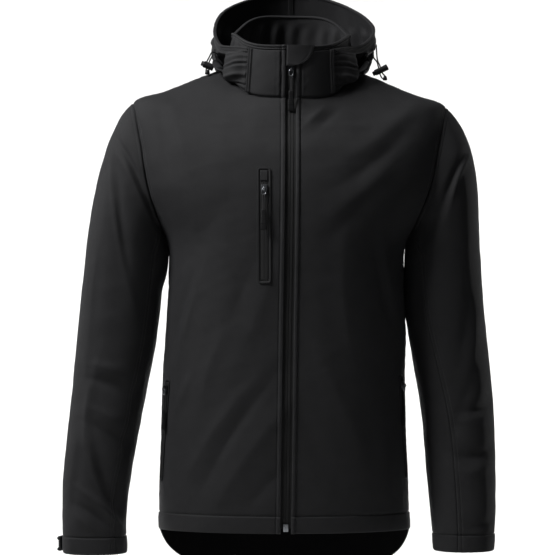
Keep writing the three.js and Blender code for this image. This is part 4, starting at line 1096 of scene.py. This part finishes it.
def polyester_thread():
    """Spun polyester sewing thread: two plies twisted together, a little glossier than the cloth."""
    face = Surface("polyester_thread", Roughness=0.5, Sheen_Weight=0.2, IOR=1.5)
    where = face.add("ShaderNodeTexCoord")
    # Painted shade: bands that are darker in the grooves between the two plies and lighter on their crests.
    face.colour(face.bands("DIAGONAL", where, "Object", Scale=900, Distortion=1), 1, "#101011", "#29292b")
    return face


def cast_zinc(name, low, high):
    """Die-cast zinc zip parts, tumbled bright or blackened: metallic, with fine scuffs on the edges."""
    face = Surface(name, Metallic=1.0, Roughness=0.28)
    scuff = face.noise(Scale=700, Detail=5)
    face.colour(scuff, 0, low, high)
    face.gloss(scuff, 0.18, 0.42)
    face.dents(scuff, 0.2, 0.0001)
    return face


def moulded_nylon():
    """Injection-moulded nylon with a fine spark-eroded grain: semi-matt, small soft highlights."""
    face = Surface("moulded_nylon", Roughness=0.5, IOR=1.5, Specular_IOR_Level=0.25)
    wear = face.noise(Scale=160, Detail=3)
    face.colour(wear, 0, "#0c0c0d", "#18181a")
    face.gloss(wear, 0.42, 0.6)
    face.dents(face.noise(Scale=1600, Detail=3), 0.25, 0.0002)
    return face


def braided_elastic():
    """Braided elastic cord: diamonds of crossing yarns round a rubber core, at their real 0.5 mm."""
    face = Surface("braided_elastic_cord", Roughness=0.7, Sheen_Weight=0.05, IOR=1.45)
    where = face.add("ShaderNodeTexCoord")
    yarns = []
    for slant in ((1, 0.6, 1), (-1, -0.6, 1)):
        links = [(0, where, "Object")]
        slanted = face.add("ShaderNodeVectorMath", {1: slant}, links, operation="MULTIPLY")
        yarns.append(face.bands("DIAGONAL", slanted, 0, Scale=320, Distortion=0.4))
    braid = face.maths("MAXIMUM", {}, (0, yarns[0], 1), (1, yarns[1], 1))
    # Painted shade: darker in the gaps between the crossing yarns and lighter on them.
    face.colour(braid, 0, "#0b0b0c", "#1f1f21")
    face.dents(braid, 0.7, 0.0004)
    return face


def studio_paper():
    """Matt white seamless paper roll, with the faint mottle of paper."""
    face = Surface("studio_paper", Roughness=0.95)
    face.colour(face.noise(Scale=30, Detail=3), 0, "#f6f6f5", "#fcfcfb")
    return face


made = {}  # what one operator leaves for the next: panels and materials by name


MAKERS = {
    "shell": lambda: softshell(made["sizes"].cloth_dark, made["sizes"].cloth_light),
    "lining": fleece_lining,
    "tape": woven_tape,
    "thread": polyester_thread,
    "metal": lambda: cast_zinc("die_cast_zinc", "#7d8086", "#c4c7cc"),
    "black_metal": lambda: cast_zinc("blackened_die_cast_zinc", "#2c2d30", "#6a6c70"),
    "plastic": moulded_nylon,
    "cord": braided_elastic,
    "paper": studio_paper,
}


def material(kind):
    """Material of a kind, made when it is first asked for."""
    if kind not in made:
        made[kind] = MAKERS[kind]().material
    return made[kind]


def cloth_piece(name, panel, lining="lining", rests_on=(), with_pieces=()):
    piece = shell(name, panel.outer, panel.inner, panel.normal, [material("shell"), material(lining)])
    made[name] = panel
    node = name.removesuffix("_cloth")
    return dress(piece, node, sheet=panel.base, rests_on=rests_on, with_pieces=with_pieces)


# Settings and operators


class JacketSettings(bpy.types.PropertyGroup):
    """Sizes and colours of the jacket's dressing."""

    # The dark colour goes into the gaps of the weave as painted shade and into the dark end of the random
    # mottle. The light colour goes onto the yarns' crests and the light end of the mottle.
    cloth_dark: bpy.props.FloatVectorProperty(
        name="Cloth, dark", description="Colour of the cloth's valleys", subtype="COLOR", size=4,
        default=linear("#121213"), min=0, max=1,
    )
    cloth_light: bpy.props.FloatVectorProperty(
        name="Cloth, light", description="Colour of the cloth's raised yarns", subtype="COLOR", size=4,
        default=linear("#2b2b2d"), min=0, max=1,
    )
    stitch_pitch: bpy.props.FloatProperty(
        name="Stitch pitch", description="Length of one stitch and its gap in millimetres", default=3.2,
        min=2, max=6,
    )
    thread_wide: bpy.props.FloatProperty(
        name="Thread", description="Width of the sewing thread in millimetres", default=0.6, min=0.3, max=1.5,
    )
    key_power: bpy.props.FloatProperty(
        name="Key light", description="Power of the key light", default=38, min=0, unit="POWER",
    )
    fill_power: bpy.props.FloatProperty(
        name="Fill light", description="Power of the fill light", default=1.3, min=0, unit="POWER",
    )
    top_power: bpy.props.FloatProperty(
        name="Top light", description="Power of the soft light above", default=6, min=0, unit="POWER",
    )
    paper_power: bpy.props.FloatProperty(
        name="Paper lights", description="Power of each light on the paper", default=22, min=0, unit="POWER",
    )


# The camera's place in metres, and its sensor and lens in millimetres
CAMERA_PLACE = (-0.013, -3.2, -0.296)
CAMERA_SENSOR = 36
CAMERA_LENS = 134.7


class JACKET_OT_camera(bpy.types.Operator):
    """Set up the camera"""

    bl_idname = "jacket.camera"
    bl_label = "Camera"

    def execute(self, context):
        data = bpy.data.cameras.new("camera")
        data.sensor_width = CAMERA_SENSOR
        data.lens = CAMERA_LENS
        data.clip_end = 60
        camera = bpy.data.objects.new("camera", data)
        camera.location = CAMERA_PLACE
        camera.rotation_euler = (math.radians(90), 0, 0)
        context.scene.collection.objects.link(camera)
        context.scene.camera = camera
        return {"FINISHED"}


def centripetal(points, count):
    """Smooth curve through points, with as many points as asked for."""
    points = np.asarray(points, float)
    ends = np.concatenate([[2 * points[0] - points[1]], points, [2 * points[-1] - points[-2]]])
    out = []
    segments = len(points) - 1
    for k in np.linspace(0, segments, count):
        i = min(int(k), segments - 1)
        t = k - i
        p = ends[i:i + 4]
        a, b, c = np.linalg.norm(np.diff(p, axis=0), axis=1) ** 0.5
        m1 = (p[1] - p[0]) / a - (p[2] - p[0]) / (a + b) + (p[2] - p[1]) / b
        m2 = (p[2] - p[1]) / b - (p[3] - p[1]) / (b + c) + (p[3] - p[2]) / c
        m1, m2 = m1 * b, m2 * b
        leaving = (2 * t ** 3 - 3 * t ** 2 + 1) * p[1] + (t ** 3 - 2 * t ** 2 + t) * m1
        out.append(leaving + (3 * t ** 2 - 2 * t ** 3) * p[2] + (t ** 3 - t ** 2) * m2)
    return np.array(out)


def combined(name, parts, node, body_name="jacket"):
    """One piece from several forms, each (points in mm, faces, kind of material), which stands for a node."""
    points, faces, kinds, index = [], [], [], []
    for part_points, part_faces, kind in parts:
        first = sum(len(p) for p in points)
        if kind not in kinds:
            kinds.append(kind)
        points.append(np.asarray(part_points).reshape(-1, 3))
        faces += [[first + int(k) for k in face] for face in part_faces]
        index += [kinds.index(kind)] * len(part_faces)
    piece = link(name, np.concatenate(points), faces, [material(kind) for kind in kinds])
    piece.data.polygons.foreach_set("material_index", np.array(index, np.int32))
    return dress(piece, node, slot="pull_plastic", body_name=body_name)


def turned(centre, axis, profile, sides):
    """Turned form in nylon: profile has (distance along the axis, radius) pairs."""
    axis = unit(np.array(axis, float))
    across = unit(np.cross(axis, (0.0, 1.0, 0.0)))
    out = np.cross(across, axis)
    around = ring_angles(sides)
    ring = np.cos(around)[:, None] * across + np.sin(around)[:, None] * out
    rings = [np.array(centre, float) + s * axis + r * ring for s, r in profile]
    return np.array(rings), wrapped_faces(len(rings), sides), "plastic"


def toggle_form(toggle):
    """Barrel cord lock: a sprung button in the end of a ribbed barrel."""
    at, tilt, long, wide = toggle
    half, r = long / 2, wide / 2
    button = ((0, 0.3), (0, 0.62), (0.5, 0.72), (3.6, 0.72), (3.7, 0.9))
    profile = [(-half + s, k * r) for s, k in button]
    ribs = np.linspace(-half + 4.4, half - 3.4, 25)
    profile += [(s, r * (0.965 - 0.035 * math.cos(2 * math.pi * k / 4))) for k, s in enumerate(ribs)]
    mouth = ((2.4, 1), (1, 1), (0.3, 0.93), (0, 0.78), (0, 0.3))
    profile += [(half - s, k * r) for s, k in mouth]
    return turned(at, (sin_deg(tilt), 0, cos_deg(tilt)), profile, 28)


def cord_end_form(end):
    """Bell that holds the cord's turned end."""
    at, wide = end
    r = wide / 2
    lower = ((-0.98, 0.3), (-0.97, 0.7), (-0.85, 0.92), (-0.5, 1), (0.1, 0.9))
    upper = ((0.5, 0.66), (0.85, 0.6), (0.97, 0.5), (0.98, 0.3))
    return turned(at, (0, 0, 1), [(s * r, k * r) for s, k in lower + upper], 24)


class JACKET_OT_drawcords(bpy.types.Operator):
    """Make the two elastic drawcords of the hood, with their toggles and cord ends"""

    bl_idname = "jacket.drawcords"
    bl_label = "Drawcords"

    def execute(self, context):
        for name, cord in CORDS.items():
            shares = cord["side"] * np.array(cord["eyelets"])
            off_cloth = hood_normal(np.array([EYELET_RISE, EYELET_RISE]), shares) * (0.3 + CORD_WIDE / 2)
            eyelets = hood(EYELET_RISE, shares) + off_cloth
            route = centripetal([eyelets[0], *cord["route"], eyelets[1]], 90) * MM
            curve = bpy.data.curves.new(f"{name}_cord", "CURVE")
            curve.dimensions = "3D"
            curve.bevel_depth = CORD_WIDE / 2 * MM
            curve.bevel_resolution = 3
            curve.use_fill_caps = True
            spline = curve.splines.new("POLY")
            spline.points.add(len(route) - 1)
            spline.points.foreach_set("co", np.hstack([route, np.ones((len(route), 1))]).ravel())
            curve.materials.append(material("cord"))
            piece = bpy.data.objects.new(f"{name}_cord", curve)
            context.scene.collection.objects.link(piece)
            dress(piece, f"{name}_drawcord", slot="drawcord")
            lock = combined(f"{name}_cord_lock", [toggle_form(cord["toggle"])], f"{name}_toggle")
            bell = combined(f"{name}_bell", [cord_end_form(cord["end"])], f"{name}_cord_end")
        return {"FINISHED"}


def refined(node, kind, round_mm):
    """Copy of a metal node's mesh with its edges rounded, which stands for the node."""
    source = NODES[node]
    piece = bpy.data.objects.new(f"{node}_form", source.data.copy())
    bpy.context.scene.collection.objects.link(piece)
    piece.data.materials.clear()
    piece.data.materials.append(material(kind))
    weld = piece.modifiers.new("weld", "WELD")
    weld.merge_threshold = WELD_GAP
    bevel = piece.modifiers.new("round", "BEVEL")
    bevel.width = round_mm * MM
    bevel.segments = 3
    bevel.limit_method = "ANGLE"
    bevel.angle_limit = math.radians(35)
    bpy.context.view_layer.update()
    applied = bpy.data.meshes.new_from_object(piece.evaluated_get(bpy.context.evaluated_depsgraph_get()))
    piece.modifiers.clear()
    piece.data = applied
    piece.data.shade_smooth()
    return dress(piece, node, slot="zip_metal", body_name=source["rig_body"])


class JACKET_OT_fronts(bpy.types.Operator):
    """Make the two front panels"""

    bl_idname = "jacket.fronts"
    bl_label = "Fronts"

    def execute(self, context):
        for which, side in SIDES.items():
            on_it = made["on_fronts"][side]
            cloth_piece(f"front_{which}_cloth", front_panel(side), rests_on=["back"], with_pieces=on_it)
        return {"FINISHED"}


class JACKET_OT_back(bpy.types.Operator):
    """Make the back panel"""

    bl_idname = "jacket.back"
    bl_label = "Back"

    def execute(self, context):
        cloth_piece("back_cloth", back_panel(), rests_on=["front_right_cloth", "front_left_cloth"])
        return {"FINISHED"}


class JACKET_OT_collar(bpy.types.Operator):
    """Make the collar, its two front panels and the chin guard"""

    bl_idname = "jacket.collar"
    bl_label = "Collar"

    def execute(self, context):
        cloth_piece("collar_cloth", collar_panel(), lining="shell", rests_on=["back_cloth"])
        for which, side in SIDES.items():
            panel = collar_front_panel(side)
            cloth_piece(f"collar_front_{which}_cloth", panel, lining="shell", rests_on=["collar_cloth"])
        cloth_piece("chin_guard_cloth", chin_guard_panel(), rests_on=["collar_cloth"])
        return {"FINISHED"}


class JACKET_OT_sleeves(bpy.types.Operator):
    """Make the top and under sleeves and the cuff tabs"""

    bl_idname = "jacket.sleeves"
    bl_label = "Sleeves"

    def execute(self, context):
        for which, arm in ARMS.items():
            front, top = f"front_{which}_cloth", f"sleeve_top_{which}_cloth"
            cloth_piece(top, sleeve_panel(which, arm, BACK_SEAM_ANGLE - 360, SEAM_ANGLE), rests_on=[front])
            under = sleeve_panel(which, arm, SEAM_ANGLE, BACK_SEAM_ANGLE)
            cloth_piece(f"sleeve_under_{which}_cloth", under, rests_on=[front])
            cloth_piece(f"cuff_tab_{which}_cloth", cuff_tab_panel(arm), lining="shell", rests_on=[top])
        return {"FINISHED"}


class JACKET_OT_hood(bpy.types.Operator):
    """Make the two halves of the hood"""

    bl_idname = "jacket.hood"
    bl_label = "Hood"

    def execute(self, context):
        for which, side in SIDES.items():
            panel = hood_panel(side)
            piece = cloth_piece(f"hood_{which}_cloth", panel, lining="shell", rests_on=["collar_cloth"])
            # Painted shade: the outer faces in the hood's hollows take the dark fleece lining, which stands
            # for the deep shadow there.
            piece.data.materials.append(material("lining"))
            gapes = (panel.gapes[:-1, :-1] > 0.2).ravel()
            index = np.zeros(len(piece.data.polygons), np.int32)
            index[:len(gapes)][gapes] = 2
            piece.data.polygons.foreach_set("material_index", index)
        half = made["hood_left_cloth"]
        path, out = half.inner[3:-4, 0], half.normal[3:-4, 0]
        left_half = ((-4.5, -0.2), (-4.5, -0.55), (-3.9, -0.8))
        profile = [*left_half, *((-aside, rise) for aside, rise in left_half[::-1])]
        band = sweep(path, out, profile)
        dress(swept_piece("hood_seam_band", band, [material("shell")]))
        side = unit(np.cross(np.gradient(path, axis=0), out))
        made["band_seams"] = [(path + side * aside - out * 0.85, -out) for aside in (-3, 3)]
        return {"FINISHED"}


def tape_strip(name, side, node):
    """Half of the main zip's tape, behind the fronts and the collar, with the bulge of the coil under it."""
    at = np.concatenate([np.arange(8, NECK_SEAM, 3.0), np.arange(NECK_SEAM, COLLAR_TOP - 3, 3.0)])[:, None]
    across = np.array([0.15, 0.4, 0.9, 1.6, 2.4, 3.2, 3.9, 4.3, 4.7, 5.4, 6.4, 7.8, 10, 13])[None, :]
    turn = side * turn_at(at, across + 0 * at)
    base, normal, rise = body_grid(np.minimum(at, NECK_SEAM - 0.01) + 0 * turn, turn, FRONT_FOLDS)
    on_collar = (at >= NECK_SEAM)[..., None]
    collar_base = body(at + 0 * turn, turn)
    collar_normal = body_normal(at + 0 * turn, turn)
    base = np.where(on_collar, collar_base, base)
    normal = np.where(on_collar, collar_normal, normal)
    rise = np.where(on_collar[..., 0], 0, rise)
    coil = 0.7 * (1 - smooth(across, 3.7, 4.6)) - 0.5 * np.exp(-((across / 0.5) ** 2))
    out = rise - CLOTH - 0.4 + coil
    outer = base + normal * out[..., None]
    inner = base + normal * (rise - CLOTH - 1.5)[..., None]
    grain = np.stack([across + 0 * at, at + 0 * across], -1)
    piece = shell(name, outer, inner, normal, [material("tape")], grain=grain)
    front = node.replace("main_zip_tape", "front")
    return dress(piece, node, slot="zip_tape", sheet=outer, rests_on=[f"{front}_cloth"])


# A pull: half width of its wire loop, radius of the wire, length of the loop, the grip's start and the radius
# of the cord between them. GRIP has the grip's half width and half thickness down its length.
PULL = {"eye": 3.05, "wire": 0.72, "loop": 8.4, "neck": 31, "cord": 0.78}
GRIP = table(
    "down half thick",
    (30.4, 2.2, 0.7),
    (31, 3.1, 1.0),
    (32.2, 3.65, 1.25),
    (36, 3.6, 1.3),
    (44, 3.85, 1.2),
    (54, 4.6, 1.2),
    (59.5, 4.95, 1.3),
    (61.2, 4.7, 1.15),
    (61.9, 4.1, 0.8),
    (62, 3.2, 0.4),
)


def pull_piece(name):
    """Zip pull: a wire loop, a doubled cord and a moulded grip with ribs across it."""
    joint = next(j for j in frame["joints"] if j["name"] == f"{name}_tab_swing")
    pivot = np.array(joint["pos_m"]) / MM
    across = unit(np.array(joint["axis"], float))
    corners = np.array([v.co for v in NODES[f"{name}_pull"].data.vertices]) / MM
    down = corners.mean(axis=0) - pivot
    down = unit(down - across * np.dot(down, across))
    out = np.cross(across, down)

    def place(x, y, z):
        return pivot + np.multiply.outer(x, across) + np.multiply.outer(y, out) + np.multiply.outer(z, down)

    bends = ring_angles(32)
    wide, tall = PULL["eye"], PULL["loop"] / 2
    loop = place(wide * raised(np.cos(bends), 0.5), 0 * bends, tall - tall * raised(np.sin(bends), 0.6))
    ring = np.stack([np.cos(ring_angles(10)), np.sin(ring_angles(10))], -1)
    wire = sweep(loop, out + 0 * loop, PULL["wire"] * ring, closed=True)
    parts = [(wire, wrapped_faces(*wire.shape[:2], closed=True), "metal")]
    for side in (-1, 1):
        run = np.linspace(0, 1, 14)
        spread = side * (0.85 + 0.75 * (1 - smooth(run, 0, 0.35)))
        cord = place(spread, 0 * run, mix(PULL["loop"] - 0.5, PULL["neck"] + 1, run))
        tube = sweep(cord, out + 0 * cord, PULL["cord"] * ring)
        parts.append((tube, wrapped_faces(*tube.shape[:2]), "cord"))
    sides = ring_angles(28)
    downs = np.sort(np.concatenate([GRIP["down"], np.arange(36.5, 52, 0.45)]))
    half, thick = (np.interp(downs, GRIP["down"], GRIP[column]) for column in ("half", "thick"))
    thick = thick - 0.22 * (np.sin((downs - 36.5) * 2 * math.pi / 3) > 0.2) * (downs > 37) * (downs < 52)
    x = half[:, None] * raised(np.cos(sides), 0.55)[None, :]
    y = thick[:, None] * raised(np.sin(sides), 0.6)[None, :]
    grip = place(x, y, downs[:, None] + 0 * x)
    parts.append((grip, wrapped_faces(*grip.shape[:2]), "plastic"))
    combined(f"{name}_grip", parts, f"{name}_pull", joint["child"])


class JACKET_OT_zips(bpy.types.Operator):
    """Make the zip tapes, the zip's box and the sliders and pulls"""

    bl_idname = "jacket.zips"
    bl_label = "Zips"

    def execute(self, context):
        for which, side in SIDES.items():
            tape_strip(f"zip_tape_{which}", side, f"main_zip_tape_{which}")
        refined("main_zip_box", "metal", 0.5)
        for name in ("main_zip", *POCKETS):
            refined(f"{name}_slider", "metal" if name == "chest_pocket" else "black_metal", 0.35)
            pull_piece(name)
        return {"FINISHED"}


def rounded_loop(half_wide, half_long, corner):
    """Points of a rectangle with round corners, as (aside, along)."""
    points = []
    for cx, cz, first in ((1, 1, 0), (-1, 1, 90), (-1, -1, 180), (1, -1, 270)):
        for angle in np.linspace(first, first + 90, 5):
            x = cx * (half_wide - corner) + corner * cos_deg(angle)
            z = cz * (half_long - corner) + corner * sin_deg(angle)
            points.append((x, z))
    points.append(points[0])
    points = np.array(points)
    run = run_along(points)
    places = np.linspace(0, run[-1], round(run[-1] / LOOP_STEP))[:-1]
    return at_places(places, run, points)


# Section of a pocket's turned frame: distance aside as a share of half its width, and rise in millimetres
WELT_FORM = ((-1, 0), (-1, 0.9), (-0.8, 1.25), (-0.3, 1.3), (0.3, 0.9), (1, 0.2), (1, 0))
# Points across half of a pocket's zip tape and back, closer at the middle where its two halves meet
TAPE_SHARES = (-1, -0.7, -0.45, -0.3, -0.12, -0.03, 0.03, 0.12, 0.3, 0.45, 0.7, 1)


def pocket_loop(name, out, corner, lift):
    """Points and normals of a loop round a pocket, at a distance out from its outline."""
    pocket = POCKETS[name]
    middle = (pocket["top"] + pocket["bottom"]) / 2
    loop = rounded_loop(pocket["wide"] / 2 + out, (pocket["top"] - pocket["bottom"]) / 2 + out, corner)
    return pocket_place(name, middle + loop[:, 1], loop[:, 0], lift)


def pocket_shell(piece_name, name, z, aside, outer_lift, inner_lift, kind, grain=None):
    outer, normal = pocket_place(name, z, aside, outer_lift)
    inner, _ = pocket_place(name, z, aside, inner_lift)
    return shell(piece_name, outer, inner, normal, [material(kind)], grain=grain)


class JACKET_OT_pockets(bpy.types.Operator):
    """Make the turned frames and the zip tapes of the three pockets"""

    bl_idname = "jacket.pockets"
    bl_label = "Pockets"

    def execute(self, context):
        made["pocket_seams"] = []
        made["on_fronts"] = {-1: [], 1: []}
        for name, pocket in POCKETS.items():
            border = (pocket["wide"] - pocket["zip"]) / 2
            path, out = pocket_loop(name, -border / 2, 1.6, LAID_GAP + 0.1)
            swept = sweep(path, out, [(border / 2 * k, rise) for k, rise in WELT_FORM], closed=True)
            welt = swept_piece(f"{name}_frame", swept, [material("shell")], closed=True)
            dress(welt, f"{name}_welt")
            seam = pocket_loop(name, 1.6, 3, -0.1)
            made["pocket_seams"].append([np.vstack([values, values[:1]]) for values in seam])
            half = pocket["zip"] / 2 - 0.35
            z = np.arange(pocket["bottom"] + border + 0.35, pocket["top"] - border - 0.35, 2.4)[:, None]
            aside = np.array(TAPE_SHARES)[None, :] * half
            coil = 0.5 * (1 - smooth(np.abs(aside), 0.3 * half, 0.5 * half))
            outer_lift = LAID_GAP + 0.5 + (coil - 0.7 * np.exp(-((aside / 0.45) ** 2)))
            grain = np.stack(np.broadcast_arrays(aside, z), -1)
            tape = pocket_shell(f"{name}_tape", name, z, aside, outer_lift, LAID_GAP - 0.3, "tape", grain)
            dress(tape, f"{name}_zip", slot="zip_tape")
            made["on_fronts"][pocket["side"]] += [welt, tape]
            if name == "chest_pocket":
                z = pocket["top"] - border - np.linspace(16, 0.4, 9)[:, None]
                aside = np.linspace(-1, 1, 9)[None, :] * (half - 0.1)
                patch_name = f"{name}_end_patch"
                patch = pocket_shell(patch_name, name, z, aside, LAID_GAP + 1.5, LAID_GAP + 0.8, "shell")
                made["on_fronts"][pocket["side"]].append(dress(patch))
        return {"FINISHED"}


# Lines of stitches: group, panel, edge, distance from it, length left free at both ends. {} is for the side.
STITCHES = (
    ("fronts", "front_{}", "near", EDGE_WIDTH + 0.5, 3),
    ("fronts", "front_{}", "near", 1.4, 3),
    ("fronts", "front_{}", "low", HEM_DEEP + 0.4, 8),
    ("fronts", "front_{}", "far", SEAM_STITCH, 20),
    ("fronts", "front_{}", "far", SECOND_STITCH, 30),
    ("sleeves", "sleeve_top_{}", "high", CUFF_DEEP + 0.4, 3),
    ("sleeves", "sleeve_under_{}", "high", CUFF_DEEP + 0.4, 3),
    ("sleeves", "sleeve_top_{}", "far", SEAM_STITCH, 4),
    ("sleeves", "sleeve_top_{}", "far", SECOND_STITCH, 4),
    ("sleeves", "cuff_tab_{}", "high", 2.2, 2),
    ("sleeves", "cuff_tab_{}", "low", 2.2, 2),
    ("sleeves", "cuff_tab_{}", "far", 2.2, 2),
    ("collar", "collar_front_{}", "far", 1.3, 2),
    ("collar", "collar_front_{}", "far", 6.2, 2),
    ("hood", "hood_{}", "high", 1.4, 3),
    ("hood", "hood_{}", "high", EDGE_WIDTH + 6, 6),
    ("hood", "hood_{}", "near", SEAM_STITCH, 6),
    ("hood", "hood_{}", "near", SECOND_STITCH, 6),
    ("hood", "hood_{}", "far", EDGE_WIDTH + 0.5, 4),
    ("back", "back", "low", HEM_DEEP + 0.4, 8),
    ("collar", "collar", "high", EDGE_WIDTH + 0.5, 6),
    ("collar", "collar", "high", 1.4, 2),
    ("collar", "collar", "near", EDGE_WIDTH + 0.5, 2),
    ("collar", "collar", "far", EDGE_WIDTH + 0.5, 2),
    ("collar", "chin_guard", "far", 2.0, 1),
)


class JACKET_OT_stitching(bpy.types.Operator):
    """Sew the topstitching on every panel"""

    bl_idname = "jacket.stitching"
    bl_label = "Stitching"

    def execute(self, context):
        sizes = made["sizes"]
        rows = {"fronts": [], "back": [], "collar": [], "sleeves": [], "hood": made["band_seams"]}
        rows["pockets"] = made["pocket_seams"]
        for side in ("right", "left", ""):
            for group, panel, edge, distance, free in STITCHES:
                if ("{}" in panel) == bool(side):
                    rows[group].append(made[f"{panel.format(side)}_cloth"].line(edge, distance, free))
        for name, paths in rows.items():
            long_enough = [(p, n) for p, n in paths if len(p) > 3]
            points, faces = beads(long_enough, sizes.stitch_pitch, sizes.thread_wide)
            dress(link(f"stitching_{name}", points, faces, [material("thread")]))
        return {"FINISHED"}


def area_light(name, place, aim, size, power):
    data = bpy.data.lights.new(name, "AREA")
    data.shape = "RECTANGLE"
    data.size, data.size_y = size
    data.energy = power
    light = bpy.data.objects.new(name, data)
    light.location = place
    light.rotation_euler = Vector(np.subtract(aim, place)).to_track_quat("-Z", "Y").to_euler()
    bpy.context.scene.collection.objects.link(light)


# Lights: name, place, aim and size in metres, and the setting that has the power
LIGHTS = (
    ("key_light", (-1.25, -0.65, 1.1), (0, -0.1, 0.1), (0.6, 0.6), "key_power"),
    ("top_light", (0.1, -0.35, 1.7), (0, 0, 0), (1.2, 0.8), "top_power"),
    ("fill_light", (2.2, -2.8, 0.2), (0, 0, -0.3), (1.6, 1.6), "fill_power"),
    ("paper_light_-1", (-1.5, 0.9, -0.2), (-0.2, 2, -0.3), (0.4, 1.6), "paper_power"),
    ("paper_light_1", (1.5, 0.9, -0.2), (0.2, 2, -0.3), (0.4, 1.6), "paper_power"),
)
# The paper in millimetres: half its width, the height of its floor, its front edge, where its bend starts,
# the radius of the bend and the height of its top
PAPER = {"half": 1100, "floor": -1050, "front": -3000, "bend": 1500, "radius": 500, "top": 900}
SKY_COLOUR = "#f4f6f8"
SKY_STRENGTH = 0.035


class JACKET_OT_stage(bpy.types.Operator):
    """Set up the white paper sweep and the studio lights"""

    bl_idname = "jacket.stage"
    bl_label = "Stage"

    def execute(self, context):
        floor, bend, radius = PAPER["floor"], PAPER["bend"], PAPER["radius"]
        side_view = [(y, floor) for y in np.linspace(PAPER["front"], bend, 12)]
        for angle in np.linspace(0, math.pi / 2, 16)[1:]:
            side_view.append((bend + radius * math.sin(angle), floor + radius - radius * math.cos(angle)))
        side_view += [(bend + radius, z) for z in np.linspace(floor + radius + 150, PAPER["top"], 8)]
        across = np.linspace(-PAPER["half"], PAPER["half"], 12)
        grid = np.array([[(x, y, z) for x in across] for y, z in side_view], float)
        paper = link("paper_sweep", grid.reshape(-1, 3), grid_faces(*grid.shape[:2]), [material("paper")])
        for name, place, aim, size, setting in LIGHTS:
            area_light(name, place, aim, size, getattr(made["sizes"], setting))
        world = bpy.data.worlds.new("studio")
        world.use_nodes = True
        background = world.node_tree.nodes["Background"]
        background.inputs[0].default_value = linear(SKY_COLOUR)
        background.inputs[1].default_value = SKY_STRENGTH
        context.scene.world = world
        context.scene.view_settings.view_transform = "Standard"
        return {"FINISHED"}


OPERATORS = (
    JACKET_OT_camera,
    JACKET_OT_drawcords,
    JACKET_OT_pockets,
    JACKET_OT_fronts,
    JACKET_OT_back,
    JACKET_OT_collar,
    JACKET_OT_sleeves,
    JACKET_OT_hood,
    JACKET_OT_zips,
    JACKET_OT_stitching,
    JACKET_OT_stage,
)


class JACKET_PT_panel(bpy.types.Panel):
    """Lists the jacket's operators and settings"""

    bl_idname = "JACKET_PT_panel"
    bl_label = "Softshell jacket"
    bl_space_type = "VIEW_3D"
    bl_region_type = "UI"
    bl_category = "Jacket"

    def draw(self, context):
        for name in JacketSettings.__annotations__:
            self.layout.prop(context.scene.jacket, name)
        for operator in OPERATORS:
            self.layout.operator(operator.bl_idname)


CLASSES = (JacketSettings, *OPERATORS, JACKET_PT_panel)


def register():
    for item in CLASSES:
        bpy.utils.register_class(item)
    bpy.types.Scene.jacket = bpy.props.PointerProperty(type=JacketSettings)


def unregister():
    del bpy.types.Scene.jacket
    for item in reversed(CLASSES):
        bpy.utils.unregister_class(item)


def main():
    register()
    made["sizes"] = bpy.context.scene.jacket
    for operator in OPERATORS:
        group, name = operator.bl_idname.split(".")
        getattr(getattr(bpy.ops, group), name)()


if __name__ == "__main__":
    main()
